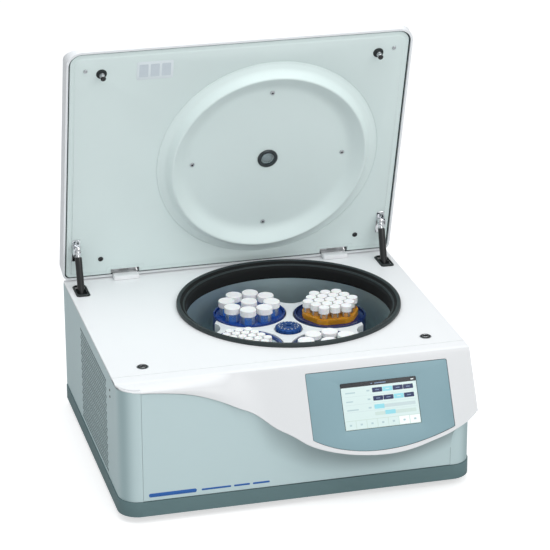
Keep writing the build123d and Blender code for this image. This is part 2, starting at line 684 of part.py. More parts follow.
def above_brow(dy, dz):
    """Everything above the roof line shifted by dy, dz."""
    line = [(LID_FRONT + y + dy, z + dz) for y, z in BROW]
    return side_prism(line + [(LID_FRONT + 76 + dy, 365), (LID_FRONT - 3, 365)], -400, 400)


def notched(shape):
    """Clear the hinges."""
    for x in HINGES:
        shape = shape - box(x - 29, x + 29, 302, 325, 285, 324)
    return shape


def lid_outer_shell():
    outer = prism(plan(LID_HALF_W, LID_FRONT, LID_REAR, 31, 16), 294.4, LID_TOP)
    outer = fillet(outer.faces().sort_by(Axis.Z)[-1].edges(), 13)
    hollow = prism(plan(LID_HALF_W - 4.4, LID_FRONT + 4.4, LID_REAR - 1.9, 27.5, 13),
                   290, LID_TOP - 3.6)
    hollow = fillet(hollow.faces().sort_by(Axis.Z)[-1].edges(), 9)
    outer = outer - above_brow(0, 0)
    hollow = hollow - above_brow(1.4, -4.3)
    return notched(outer - hollow - cyl(ROTOR_X, ROTOR_Y, 330, 360, 17.3))


def lid_inner_panel():
    panel = prism(plan(LID_HALF_W - 6, LID_FRONT + 6.1, LID_REAR - 2.9, 26, 12),
                  Z_PANEL, Z_PANEL + 3)
    panel = panel + turned(PANEL_RING, ROTOR_X, ROTOR_Y) - cyl(ROTOR_X, ROTOR_Y, 280, 310, 16.9)
    panel = notched(panel)
    for x, y, _ in SCREWS:
        panel = panel - cyl(x, y, 290, 310, 2.7)
    for side in SIDES:
        panel = panel - cyl(side * LATCH_X, LATCH_Y, 290, 310, 5.1)
    return panel


def screw(x, y, r_head):
    return turned([(0, 295.9), (1.8, 295.9), (2.0, 295.0), (r_head - 1.2, 295.0), (r_head, 296.0),
                   (r_head, Z_FIXING), (2.3, Z_FIXING), (2.3, 305), (0, 305)], x, y)


STRIKER = [(0, 276.6), (4.2, 276.6), (5.3, 277.6), (5.3, 278.6), (3.5, 279.1), (3.5, 281.9),
           (4.8, 282.6), (4.8, 302), (8.5, 302), (8.5, 306), (0, 306)]
COLLAR = [(5.2, 293.6), (8.4, 293.6), (9.6, 294.8), (9.6, Z_FIXING), (5.2, Z_FIXING)]
# viewing port: flanged sleeve, outside collar and glass
SLEEVE = [(14, 294.2), (19, 294.2), (21.5, 295.4), (21.5, 297.3), (16.6, 297.3), (16.6, 348.3),
          (14, 348.3)]
PORT_COLLAR = [(16.6, 345.2), (21, 345.2), (21, 347.2), (20, 348.3), (16.6, 348.3)]
GLASS = [(0, 299), (13.8, 299), (13.8, 304), (0, 304)]


def ball_stud(side):
    x = side * STRUT_X
    x0, x1 = x + side * 7.6, x + side * 9.8
    stud = box(x0, x1, BALL_Y - 7, BALL_Y + 11, BALL_Z - 6, Z_FIXING)
    stud = stud + box(x - side * 6.0, x1, BALL_Y + 11, BALL_Y + 36, 295.0, Z_FIXING)
    stud = stud + box(x0, x1, BALL_Y + 10, BALL_Y + 13, 290, Z_FIXING)
    return stud + xcyl(x, x + side * 8, BALL_Y, BALL_Z, 2.2) + Pos(x, BALL_Y, BALL_Z) * Sphere(5.0)


save("lid_outer_shell", lid(lid_outer_shell()))
save("lid_inner_panel", lid(lid_inner_panel()))
save("lid_screws", *[lid(screw(*row)) for row in SCREWS])
save("lid_strikers", *[lid(shape) for shape in at_latches(STRIKER)])
save("striker_collars", *[lid(shape) for shape in at_latches(COLLAR)])
save("viewing_port_ring", lid(turned(SLEEVE, ROTOR_X, ROTOR_Y)
                              + turned(PORT_COLLAR, ROTOR_X, ROTOR_Y)))
save("viewing_port_glass", lid(turned(GLASS, ROTOR_X, ROTOR_Y)))
save("lid_ball_studs", *[lid(ball_stud(side)) for side in SIDES])

# ---------------------------------------------------------------- struts
# ball centre with the lid open, and the strut's length and lean from there to its foot
COS_OPEN, SIN_OPEN = math.cos(math.radians(LID_OPEN)), math.sin(math.radians(LID_OPEN))
ARM_Y, ARM_Z = BALL_Y - HINGE_Y, BALL_Z - HINGE_Z
OPEN_Y = HINGE_Y + COS_OPEN * ARM_Y + SIN_OPEN * ARM_Z
OPEN_Z = HINGE_Z - SIN_OPEN * ARM_Y + COS_OPEN * ARM_Z
LEAN = math.degrees(math.atan2(OPEN_Y - FOOT_Y, OPEN_Z - FOOT_Z))
LENGTH = math.hypot(OPEN_Y - FOOT_Y, OPEN_Z - FOOT_Z)
# socket end and cylinder: radius, z below the ball centre
STRUT_TUBE = [(0, 7), (5, 7), (7.0, 4.5), (7.0, -6), (5.2, -9.5), (4.6, -12), (4.6, -15),
              (6.5, -16), (7.5, -18), (7.5, -160), (6.3, -161.5), (4.35, -161.5), (4.35, -30),
              (0, -30)]


def strut(shape, side):
    """Place a shape modelled hanging down -Z from the ball centre at the origin."""
    return Pos(side * STRUT_X, OPEN_Y, OPEN_Z) * Rot(-LEAN, 0, 0) * shape


def strut_cylinder(side):
    return turned(STRUT_TUBE) - Sphere(5.3) - xcyl(0.0, side * 20.0, 0, 0, 4.6)


def strut_rod():
    rod = turned([(0, -117), (4.0, -117), (4.0, -LENGTH + 8), (0, -LENGTH + 8)])
    rod = rod + xcyl(-4, 4, 0, -LENGTH, 9)
    return rod - xcyl(-10, 10, 0, -LENGTH, 3.2)


def strut_boot(x):
    y = 226
    boot = prism(Pos(x, y) * RectangleRounded(29, 62, 7), Z_DECK + 0.2, Z_DECK + 1.6)
    boot = boot + loft([Pos(x, y, Z_DECK + 1.6) * RectangleRounded(28, 60, 7),
                        Pos(x, y, Z_DECK + 4.0) * RectangleRounded(25, 56, 6)])
    return boot - prism(Pos(x, y) * RectangleRounded(22.4, 52, 5), 270, 300)


def strut_bracket(x):
    bracket = box(x - 12, x + 12, FOOT_Y - 24, FOOT_Y + 24, Z_MOUNT, Z_MOUNT + 3)
    cheek = [(FOOT_Y - 22, 20), (FOOT_Y + 22, 20), (FOOT_Y + 14, 88), (FOOT_Y - 14, 88)]
    for side in SIDES:
        bracket = bracket + side_prism(cheek, x + side * 5.6, x + side * 8.2)
    return bracket


for side, word in ((-1, "left"), (1, "right")):
    save("strut_%s_cylinder" % word, strut(strut_cylinder(side), side))
    save("strut_%s_rod" % word, strut(strut_rod(), side))
save("strut_boots", *[strut_boot(side * STRUT_X) for side in SIDES])
save("strut_brackets", *[strut_bracket(side * STRUT_X) for side in SIDES])
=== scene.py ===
# A bench-top centrifuge with its lid open, four swing-out buckets and their tubes.
# The front faces -Y, the left side is -X and +Z is up from the table at z = 0.
# All lengths are in millimetres until a mesh is made; lid pieces are given with the lid closed.
import bpy, bmesh, random
from math import atan2, cos, hypot, pi, radians, sin, tau
from mathutils import Vector, Matrix


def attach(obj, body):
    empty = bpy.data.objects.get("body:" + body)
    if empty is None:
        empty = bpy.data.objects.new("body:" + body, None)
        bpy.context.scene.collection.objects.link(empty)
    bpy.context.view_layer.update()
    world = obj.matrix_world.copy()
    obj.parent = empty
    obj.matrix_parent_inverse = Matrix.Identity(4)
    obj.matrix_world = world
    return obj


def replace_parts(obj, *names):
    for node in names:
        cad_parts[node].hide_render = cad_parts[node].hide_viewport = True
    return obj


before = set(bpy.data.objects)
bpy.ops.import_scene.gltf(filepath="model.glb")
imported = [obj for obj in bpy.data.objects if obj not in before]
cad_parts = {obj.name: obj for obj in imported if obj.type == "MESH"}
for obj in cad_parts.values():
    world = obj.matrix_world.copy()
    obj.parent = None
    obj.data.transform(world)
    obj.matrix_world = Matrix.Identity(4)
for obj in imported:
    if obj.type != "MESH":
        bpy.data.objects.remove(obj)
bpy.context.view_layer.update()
random.seed(7)
scene = bpy.context.scene
MM = 0.001

# ---------------------------------------------------------------- driving dimensions
HALF_W = 357.5                      # half the width of the housing
FRONT_Y, BAND_Z, DECK_Z = -298.0, 45.0, 283.6
SEAM_Y = -229.0                     # rear edge of the fascia's top strip
SEAM_L, SEAM_R = -315.0, 311.0      # ends of the front cover
CORNER_R = 40.0                     # rounded front corners, in plan
CX, CY = 70.0, 48.0                 # rotor and bowl axis
BOWL_R = 217.0
HINGE_Y, HINGE_Z, HINGES_X = 296.0, 310.3, (-226.0, 235.5)
LID_OPEN = radians(74.34)
PANEL_Z = 297.6                     # lowest face of the lid panel's rim
LAND_Z = PANEL_Z - 1.2              # flat field inside that rim
DISH_Z = 297.1                      # flat middle of the lid's round dish
SLOPE = radians(28.8)               # display slope, measured from the vertical
SLOPE_SIN, SLOPE_COS = sin(SLOPE), cos(SLOPE)
SLOPE_TOP = (-261.0, 283.0)         # y, z of the slope's upper end
ROTOR_TURN = radians(-16.5)
PIVOT_R = 121.0                     # bucket centres from the rotor axis
LATCH_X, LATCH_Y = 289.0, -192.0
STRUT_X = 332.0
SKIN = 3.4                          # wall of the white moulding
NAVY = (0.006, 0.024, 0.13)


# ---------------------------------------------------------------- shader helpers
def node(tree, kind, inputs=None, **settings):
    """Add a shader node; each input takes a value or another node's output socket."""
    made = tree.nodes.new("ShaderNode" + kind)
    for key, value in settings.items():
        setattr(made, key, value)
    for key, value in (inputs or {}).items():
        if isinstance(value, bpy.types.NodeSocket):
            tree.links.new(value, made.inputs[key])
        else:
            made.inputs[key].default_value = value
    return made


def maths(tree, operation, *values):
    return node(tree, "Math", dict(enumerate(values)), operation=operation).outputs[0]


def noise(tree, vector, scale, detail, roughness=0.5):
    return node(tree, "TexNoise", {"Vector": vector, "Scale": scale, "Detail": detail,
                                   "Roughness": roughness}).outputs["Fac"]


def bump(tree, height, strength, distance):
    return node(tree, "Bump", {"Height": height, "Strength": strength,
                               "Distance": distance}).outputs[0]


def object_coords(tree):
    return node(tree, "TexCoord").outputs["Object"]


def new_material(name):
    material = bpy.data.materials.new(name)
    material.use_nodes = True
    material.node_tree.nodes.clear()
    return material, material.node_tree


def rgba(color, gain=1.0):
    return tuple(min(1, c * gain) for c in color) + (1.0,)


def mat(name, color, rough, metal=0.0, grain=0.0, grain_scale=900.0, var=0.03, var_scale=6.0,
        rough_var=0.06, spec=0.5, coat=0.0, emit=0.0, brushed=None, ao_shade=0.0, sss=0.0):
    """Colour drift, roughness mottling, grain or brushing (scale per axis), painted crevice
    shade.
    """
    material, tree = new_material(name)
    coords = object_coords(tree)
    drift = noise(tree, coords, scale=var_scale, detail=4.0, roughness=0.6)
    paint = node(tree, "MixRGB", {"Fac": drift, "Color1": rgba(color, 1 - var),
                                  "Color2": rgba(color, 1 + var)}).outputs[0]
    if ao_shade > 0:
        # painted shade: ambient occlusion darkens the colour in crevices and recesses
        crevice = node(tree, "AmbientOcclusion", {"Distance": 0.012}, samples=4).outputs["AO"]
        shade = node(tree, "MapRange", {"Value": crevice, "To Min": 1 - ao_shade}).outputs[0]
        paint = node(tree, "MixRGB", {"Fac": 1.0, "Color1": paint, "Color2": shade},
                     blend_type="MULTIPLY").outputs[0]
    mottle = noise(tree, coords, scale=38.0, detail=6.0, roughness=0.65)
    inputs = {
        "Base Color": paint,
        "Roughness": node(tree, "MapRange", {"Value": mottle,
                                             "To Min": max(0.02, rough - rough_var),
                                             "To Max": rough + rough_var}).outputs[0],
        "Metallic": metal, "Specular IOR Level": spec, "IOR": 1.46,
        "Coat Weight": coat, "Coat Roughness": 0.1,
        "Subsurface Weight": sss, "Subsurface Scale": 0.004,
    }
    if brushed:
        stretched = node(tree, "Mapping", {"Vector": coords, "Scale": brushed}).outputs[0]
        lines = noise(tree, stretched, scale=1.0, detail=5.0, roughness=0.7)
        inputs["Normal"] = bump(tree, lines, strength=0.12, distance=0.0004)
    elif grain > 0:
        grit = noise(tree, coords, scale=grain_scale, detail=3.0, roughness=0.6)
        inputs["Normal"] = bump(tree, grit, strength=grain, distance=0.0003)
    if emit > 0:
        inputs.update({"Emission Color": paint, "Emission Strength": emit})
    bsdf = node(tree, "BsdfPrincipled", inputs)
    node(tree, "OutputMaterial", {0: bsdf.outputs[0]})
    return material


def glassy(name, color, rough, tint):
    """Thin clear plastic: mostly see-through, with a bright film that varies slowly."""
    material, tree = new_material(name)
    see_through = node(tree, "BsdfTransparent", {"Color": rgba(color)})
    film = node(tree, "BsdfPrincipled", {"Roughness": rough, "Base Color": rgba(color, 1.1)})
    fresnel = node(tree, "Fresnel", {"IOR": 1.5})
    cloud = noise(tree, object_coords(tree), scale=55.0, detail=3.0)
    # the film never gets thinner than tint * 0.10
    least = maths(tree, "MULTIPLY_ADD", cloud, tint * 0.35, tint * 0.10)
    share = maths(tree, "MAXIMUM", fresnel.outputs[0], least)
    mix = node(tree, "MixShader", {0: share, 1: see_through.outputs[0], 2: film.outputs[0]})
    node(tree, "OutputMaterial", {0: mix.outputs[0]})
    return material


def base_paint(material):
    """The node tree, its base colour input and the socket that feeds it."""
    tree = material.node_tree
    bsdf = next(n for n in tree.nodes if n.type == "BSDF_PRINCIPLED")
    entry = bsdf.inputs["Base Color"]
    return tree, entry, entry.links[0].from_socket


def surface_normal(tree):
    normal = node(tree, "NewGeometry").outputs["Normal"]
    return node(tree, "SeparateXYZ", {0: normal}).outputs


def facing_shade(source, name, lean, tone):
    """Copy of a paint with painted shade: its tone goes from tone[0] to tone[1] as normal z
    crosses lean, darker where the surface faces further down.
    """
    material = source.copy()
    material.name = name
    tree, entry, paint = base_paint(material)
    factor = node(tree, "MapRange", {"Value": surface_normal(tree)["Z"],
                                     "From Min": lean[0], "From Max": lean[1],
                                     "To Min": tone[0], "To Max": tone[1]}).outputs[0]
    scaled = node(tree, "VectorMath", {0: paint, "Scale": factor}, operation="SCALE")
    tree.links.new(scaled.outputs[0], entry)
    return material


def two_shot(material, split_z):
    """Make everything below split_z (metres) navy."""
    tree, entry, paint = base_paint(material)
    height = node(tree, "SeparateXYZ", {0: object_coords(tree)}).outputs["Z"]
    above = maths(tree, "GREATER_THAN", height, split_z)
    mix = node(tree, "MixRGB", {"Fac": above, "Color1": rgba(NAVY), "Color2": paint})
    tree.links.new(mix.outputs[0], entry)


def corner_shaded(source, name):
    """Copy of a paint with painted shade: a dark band where the surface turns round a front
    corner, standing in for the dark reflection there.
    """
    material = source.copy()
    material.name = name
    tree, entry, paint = base_paint(material)
    normal = surface_normal(tree)
    # 0.78 |x| - 0.626 y is the facing towards a front corner; the power narrows the shade
    sideways = maths(tree, "MULTIPLY", maths(tree, "ABSOLUTE", normal["X"]), 0.78)
    facing = maths(tree, "MULTIPLY_ADD", normal["Y"], -0.626, sideways)
    narrow = maths(tree, "POWER", maths(tree, "MAXIMUM", facing, 0.0), 11.0)
    strength = maths(tree, "MULTIPLY", narrow, 0.85)
    mix = node(tree, "MixRGB", {"Fac": strength, "Color1": paint,
                                "Color2": (0.60, 0.66, 0.67, 1)}, blend_type="MULTIPLY")
    tree.links.new(mix.outputs[0], entry)
    return material


# ---------------------------------------------------------------- finishes
MT = {
    "white": mat("moulded_white", (0.925, 0.935, 0.95), rough=0.34, grain=0.18,
                 grain_scale=1500, var=0.012, coat=0.12, ao_shade=0.10),
    "white_lid": mat("moulded_white_lid", (0.90, 0.92, 0.94), rough=0.36, grain=0.18,
                     grain_scale=1500, var=0.012, coat=0.10, ao_shade=0.10),
    "grey": mat("powder_grey", (0.565, 0.70, 0.715), rough=0.46, grain=0.45,
                grain_scale=1150, var=0.022, ao_shade=0.20),
    "lid_grey": mat("panel_grey", (0.820, 0.940, 0.925), rough=0.40, grain=0.30,
                    grain_scale=1300, var=0.018, coat=0.08, ao_shade=0.26),
    # painted shade: dark colour for the grille hole walls, standing in for the shade inside the
    # holes
    "hole_shade": mat("hole_wall_shade", (0.11, 0.17, 0.18), rough=0.5, grain=0.3, var=0.1,
                     var_scale=60),
    "band": mat("powder_dark_grey", (0.125, 0.205, 0.215), rough=0.52, grain=0.55,
                grain_scale=1000, var=0.05, ao_shade=0.25),
    "bezel": mat("bezel_blue_grey", (0.240, 0.378, 0.425), rough=0.48, grain=0.35,
                 grain_scale=1800, var=0.02, ao_shade=0.15),
    "black_rubber": mat("black_rubber", (0.020, 0.027, 0.028), rough=0.62, grain=0.7,
                        grain_scale=700, var=0.18, ao_shade=0.2),
    "gasket": mat("gasket_rubber", (0.018, 0.029, 0.031), rough=0.50, grain=0.5, var=0.15,
                  var_scale=14),
    # painted shade: near-black copy of the gasket rubber for its shaded inner wall and groove
    "gasket_shade": mat("gasket_rubber_painted_shade", (0.003, 0.0045, 0.005), rough=0.85, grain=0.5,
                       var=0.15, var_scale=14),
    "black": mat("black_plastic", (0.016, 0.017, 0.018), rough=0.42, grain=0.4,
                 grain_scale=1400, var=0.1),
    "black_enamel": mat("black_enamel", (0.012, 0.013, 0.014), rough=0.30, grain=0.25,
                        grain_scale=600, var=0.1, coat=0.3),
    "steel": mat("brushed_steel", (0.56, 0.58, 0.60), rough=0.28, metal=1.0,
                 brushed=(60, 60, 2200), var=0.05),
    "bowl": mat("spun_bowl_steel", (0.56, 0.70, 0.715), rough=0.46, metal=0.75,
                brushed=(40, 40, 2600), var=0.06, var_scale=9),
    "chrome": mat("chrome_plate", (0.80, 0.81, 0.83), rough=0.10, metal=1.0, var=0.02,
                  rough_var=0.04),
    "zinc": mat("zinc_sheet", (0.55, 0.56, 0.57), rough=0.42, metal=0.9, grain=0.5,
                grain_scale=240, var=0.14, var_scale=60),
    "alu": mat("plain_aluminium", (0.72, 0.73, 0.75), rough=0.35, metal=1.0,
               brushed=(900, 30, 30), var=0.04),
    "copper": mat("copper_tube", (0.70, 0.33, 0.20), rough=0.28, metal=1.0, var=0.16,
                  var_scale=22),
    "foam": mat("insulation_foam", (0.035, 0.036, 0.038), rough=0.85, grain=1.0,
                grain_scale=520, var=0.25, var_scale=90),
    "pcb": mat("circuit_board", (0.015, 0.13, 0.06), rough=0.40, grain=0.5,
               grain_scale=420, var=0.25, var_scale=120),
    "rotor_white": mat("rotor_casting", (0.90, 0.93, 0.95), rough=0.36, grain=0.4,
                       grain_scale=800, coat=0.2, ao_shade=0.2),
    "rotor_blue": mat("anodised_blue", (0.010, 0.065, 0.26), rough=0.30, metal=0.55,
                      brushed=(900, 900, 60), var=0.08),
    "blue": mat("coated_blue", (0.008, 0.045, 0.26), rough=0.22, grain=0.2,
                grain_scale=700, var=0.12, var_scale=30, coat=0.6, spec=0.6),
    "navy": mat("coated_navy", NAVY, rough=0.22, grain=0.2, grain_scale=700, var=0.12,
                var_scale=30, coat=0.6, spec=0.6),
    "rack_blue": mat("moulded_blue_rack", (0.010, 0.065, 0.34), rough=0.28, var=0.10,
                     var_scale=40, grain=0.2, sss=0.15, coat=0.3),
    "rack_amber": mat("moulded_amber_rack", (0.84, 0.33, 0.02), rough=0.24, var=0.42,
                      var_scale=34, grain=0.2, sss=0.2, coat=0.4, ao_shade=0.5),
    "rack_grey": mat("moulded_grey_rack", (0.42, 0.50, 0.53), rough=0.40, var=0.05,
                     var_scale=40, grain=0.3),
    # painted light: a faint glow brightens the caps and the nut dots that share this paint
    "cap": mat("white_screw_cap", (0.965, 0.97, 0.975), rough=0.42, emit=0.05, grain=0.3,
               var=0.015, var_scale=30, sss=0.12, ao_shade=0.25),
    # painted light: the liquids glow to stand in for light reaching them between the caps and
    # the racks
    "amber": mat("amber_sample", (0.80, 0.33, 0.07), rough=0.20, emit=0.30, var=0.30,
                 var_scale=35, coat=0.3),
    "sample_blue": mat("tinted_sample", (0.05, 0.22, 0.66), rough=0.20, emit=0.28,
                       var=0.2, var_scale=35, coat=0.3),
    "accent": mat("printed_accent", (0.02, 0.12, 0.42), rough=0.40, grain=0.3,
                  grain_scale=2000, var=0.05, var_scale=80),
    "print_grey": mat("printed_grey", (0.17, 0.24, 0.27), rough=0.5, grain=0.2,
                      grain_scale=2000, var=0.08, var_scale=90),
    "label": mat("label_film", (0.76, 0.83, 0.86), rough=0.35, grain=0.15,
                 grain_scale=2200, var=0.02, var_scale=50),
    "plate_cell": mat("printed_cell", (0.62, 0.69, 0.74), rough=0.45, grain=0.2,
                      grain_scale=2000, var=0.04, var_scale=80),
    "port_rim": mat("port_rim_dark", (0.045, 0.055, 0.06), rough=0.28, metal=0.6,
                    grain=0.2, var=0.1, var_scale=60, coat=0.3),
    # painted shadow: colour of the dark strip in the gap round the lid panel
    "dark_gap": mat("painted_gap_shadow", (0.035, 0.055, 0.06), rough=0.6, grain=0.5,
                    var=0.15),
}
# painted shade: the fascia white darkens as its faces turn from the flat top strip towards the
# front
MT["white_shaded"] = facing_shade(MT["white"], "moulded_white_shaded", lean=(0.70, 0.985),
                           tone=(0.79, 1.0))
MT["clear"] = glassy("clear_tube_plastic", (0.90, 0.95, 0.98), rough=0.10, tint=0.20)
MT["port"] = glassy("port_window", (0.86, 0.92, 0.93), rough=0.05, tint=0.5)
two_shot(MT["rack_amber"], split_z=0.2243)


# ---------------------------------------------------------------- mesh helpers
def metres(point):
    return tuple(c * MM for c in point)


def fill_mesh(bm, mesh):
    bmesh.ops.recalc_face_normals(bm, faces=bm.faces)
    bm.to_mesh(mesh)
    bm.free()


def add_object(mesh, material, body, sharp=None, replaces=None):
    """Put a mesh in the scene, smooth shaded, with edges above `sharp` degrees kept crisp."""
    obj = bpy.data.objects.new(mesh.name, mesh)
    scene.collection.objects.link(obj)
    mesh.materials.append(MT[material] if isinstance(material, str) else material)
    for p in mesh.polygons:
        p.use_smooth = True
    if sharp is not None:
        mesh.set_sharp_from_angle(angle=radians(sharp))
    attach(obj, body)
    if replaces:
        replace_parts(obj, replaces)
    return obj


def make(name, shape, material, body="root", sharp=30, replaces=None, place=None):
    """Object from (points, faces); `place` moves each point to its rest position."""
    points, faces = shape
    if place:
        points = [place(*p) for p in points]
    mesh = bpy.data.meshes.new(name)
    mesh.from_pydata([metres(p) for p in points], [], faces)
    mesh.validate()
    bm = bmesh.new()
    bm.from_mesh(mesh)
    fill_mesh(bm, mesh)
    return add_object(mesh, material, body, sharp, replaces)


def join(shapes):
    points, faces = [], []
    for more_points, more_faces in shapes:
        start = len(points)
        points += more_points
        faces += [tuple(i + start for i in f) for f in more_faces]
    return points, faces


def lathe(profile, cx=0.0, cy=0.0, sides=96, closed=True, start=0.0, end=tau):
    """Revolve (radius, z) points. closed joins the last profile point to the first."""
    columns = sides if end - start >= tau - 1e-6 else sides + 1
    points, faces, rows = [], [], []
    for radius, z in profile:
        first = len(points)
        if radius < 1e-6:
            points.append((cx, cy, z))
            rows.append([first] * columns)
        else:
            for i in range(columns):
                angle = start + (end - start) * i / sides
                points.append((cx + radius * cos(angle), cy + radius * sin(angle), z))
            rows.append(list(range(first, first + columns)))
    count = len(profile)
    for k in range(count if closed else count - 1):
        here, above = rows[k], rows[(k + 1) % count]
        for i in range(sides):
            j = (i + 1) % columns
            face = tuple(dict.fromkeys((here[i], here[j], above[j], above[i])))
            if len(face) > 2:
                faces.append(face)
    return points, faces


def loft_rings(rings, first_cap=True, last_cap=True):
    """Closed rings of equal length joined in order."""
    points = [p for ring in rings for p in ring]
    n = len(rings[0])
    faces = []
    for k in range(len(rings) - 1):
        for i in range(n):
            j = (i + 1) % n
            faces.append((k * n + i, k * n + j, (k + 1) * n + j, (k + 1) * n + i))
    if first_cap:
        faces.append(tuple(range(n))[::-1])
    if last_cap:
        faces.append(tuple((len(rings) - 1) * n + i for i in range(n)))
    return points, faces


def prism(low, high):
    """Two matching rings with end faces."""
    n = len(low)
    faces = [tuple(range(n)), tuple(range(n, 2 * n))[::-1]]
    faces += [(i, (i + 1) % n, n + (i + 1) % n, n + i) for i in range(n)]
    return low + high, faces


def corner(cx, cy, radius, start, steps):
    """Quarter circle from `start` degrees, counter-clockwise."""
    angles = [radians(start + 90 * i / steps) for i in range(steps + 1)]
    return [(cx + radius * cos(a), cy + radius * sin(a)) for a in angles]


def rounded_rect(box, radius, steps):
    """Outline of a box (x0, x1, y0, y1), counter-clockwise."""
    x0, x1, y0, y1 = box
    return (corner(x1 - radius, y1 - radius, radius, 0, steps)
            + corner(x0 + radius, y1 - radius, radius, 90, steps)
            + corner(x0 + radius, y0 + radius, radius, 180, steps)
            + corner(x1 - radius, y0 + radius, radius, 270, steps))


def grown(box, grow):
    return box[0] - grow, box[1] + grow, box[2] - grow, box[3] + grow


def rounded(box, radius, steps):
    """Outline function of a box that grows while its corner radius stays."""
    return lambda grow: rounded_rect(grown(box, grow), radius, steps)


def level_rings(outline, levels, place):
    """Rings of outline(grow) at each (grow, height)."""
    return [[place(x, y, height) for x, y in outline(grow)] for grow, height in levels]


def slab(outline, levels, place):
    return loft_rings(level_rings(outline, levels, place))


def block(x0, x1, y0, y1, z0, z1):
    points = [(x0, y0, z0), (x1, y0, z0), (x1, y1, z0), (x0, y1, z0),
              (x0, y0, z1), (x1, y0, z1), (x1, y1, z1), (x0, y1, z1)]
    faces = [(0, 3, 2, 1), (4, 5, 6, 7), (0, 1, 5, 4), (1, 2, 6, 5), (2, 3, 7, 6), (3, 0, 4, 7)]
    return points, faces


def along_x(shape, x, y, z, side=1):
    """Lay a lathed shape with its axis along X, pointing to `side`."""
    return [(x + side * p[2], y + p[0], z + p[1]) for p in shape[0]], shape[1]


def strip_skin(xs, section):
    """Closed strip through sections: outer line then the inner line back, ends capped."""
    sections = [section(x) for x in xs]
    n = len(sections[0])
    points = [(x, y, z) for x, line in zip(xs, sections) for y, z in line]
    faces = loft_rings([[None] * n] * len(xs), first_cap=False, last_cap=False)[1]
    for base in (0, (len(xs) - 1) * n):
        for i in range(n // 2 - 1):
            faces.append((base + i, base + i + 1, base + n - 2 - i, base + n - 1 - i))
    return points, faces


def add_rings(bm, rings):
    """Add rings to a bmesh, bridge them in order and return their vertices."""
    rows = [[bm.verts.new(metres(p)) for p in ring] for ring in rings]
    for here, above in zip(rows, rows[1:]):
        for i in range(len(here)):
            j = (i + 1) % len(here)
            bm.faces.new((here[i], here[j], above[j], above[i]))
    return rows


def plate_with_hole(name, outer_rings, hole_rings):
    """Outer skirt, then a flat face from its last ring to the first ring of the hole."""
    bm = bmesh.new()
    edges = []
    outer_loop = add_rings(bm, outer_rings)[-1]
    hole_loop = add_rings(bm, hole_rings)[0]
    for loop in (outer_loop, hole_loop):
        edges += [bm.edges.get((loop[i], loop[(i + 1) % len(loop)])) for i in range(len(loop))]
    bmesh.ops.triangle_fill(bm, use_beauty=True, edges=edges)
    mesh = bpy.data.meshes.new(name)
    fill_mesh(bm, mesh)
    return mesh


# ---------------------------------------------------------------- curves and placing
def interp(table, x):
    """Smooth (Catmull-Rom) reading of a table (x, values...), held beyond its ends."""
    if x <= table[0][0]:
        return table[0][1:]
    if x >= table[-1][0]:
        return table[-1][1:]
    i = next(k for k in range(len(table) - 1) if x <= table[k + 1][0])
    start, end = table[i], table[i + 1]
    before, after = table[max(i - 1, 0)], table[min(i + 2, len(table) - 1)]
    width = end[0] - start[0]
    t = (x - start[0]) / width
    t2, t3 = t * t, t * t * t
    values = []
    for k in range(1, len(start)):
        slope0 = (end[k] - before[k]) / (end[0] - before[0])
        slope1 = (after[k] - start[k]) / (after[0] - start[0])
        values.append((2 * t3 - 3 * t2 + 1) * start[k] + (t3 - 2 * t2 + t) * width * slope0
                      + (-2 * t3 + 3 * t2) * end[k] + (t3 - t2) * width * slope1)
    return tuple(values)


def clamp(t):
    return min(1.0, max(0.0, t))


def smoothstep(t):
    t = clamp(t)
    return t * t * (3 - 2 * t)


def bezier(start, pull, end, steps, first, last):
    """Points first..last of a quadratic curve cut into `steps`."""
    curve = []
    for i in range(first, last + 1):
        t = i / steps
        curve.append(tuple((1 - t) ** 2 * s + 2 * t * (1 - t) * p + t * t * e
                           for s, p, e in zip(start, pull, end)))
    return curve


def stations(x0, x1, step, extra=()):
    n = round((x1 - x0) / step)
    return sorted(set([round(x0 + (x1 - x0) * i / n, 3) for i in range(n + 1)] + list(extra)))


def lid_point(x, y, z):
    """A point given with the lid closed, moved to the open rest position."""
    y, z = y - HINGE_Y, z - HINGE_Z
    c, s = cos(LID_OPEN), sin(LID_OPEN)
    return x, HINGE_Y + c * y + s * z, HINGE_Z - s * y + c * z


def slope_point(x, y, height):
    """x across, y up the display slope from its upper end, height out of it."""
    return (x, SLOPE_TOP[0] + SLOPE_SIN * y - SLOPE_COS * height,
            SLOPE_TOP[1] + SLOPE_COS * y + SLOPE_SIN * height)


# ---------------------------------------------------------------- CAD pieces that stay
NODES_BY_FINISH = {
    "band": "base_tray",
    "black_rubber": "feet motor_dampers strut_boots striker_collars",
    "white": "top_deck deck_hinge_brackets lid_hinge_leaves fascia",
    "white_lid": "lid_outer_shell",
    "grey": "rear_panel front_cover left_side_panel right_side_panel",
    "lid_grey": "lid_inner_panel",
    "black": "mains_inlet power_switch touch_screen latch_receivers condenser_fan",
    "black_enamel": "motor_housing compressor strut_left_cylinder strut_right_cylinder",
    "bezel": "display_bezel", "foam": "chamber_insulation", "copper": "evaporator_coil",
    "alu": "condenser_coil", "pcb": "control_board", "chrome": "lid_ball_studs",
    "zinc": "fan_shroud power_supply strut_brackets latch_bar",
    "steel": "hinge_pins lid_screws lid_strikers motor_shaft strut_left_rod strut_right_rod",
    "port_rim": "viewing_port_ring", "port": "viewing_port_glass",
    "bowl": "chamber_bowl", "gasket": "chamber_gasket",
    "rotor_white": "rotor_cross", "rotor_blue": "rotor_nut",
    "blue": "bucket_1 bucket_3", "navy": "bucket_2 bucket_4",
    "rack_blue": "rack_1", "rack_amber": "rack_2", "rack_grey": "rack_3 rack_4",
    "clear": "tubes_1 tubes_2", "cap": "caps_1 caps_2 vials_3 vials_4",
}
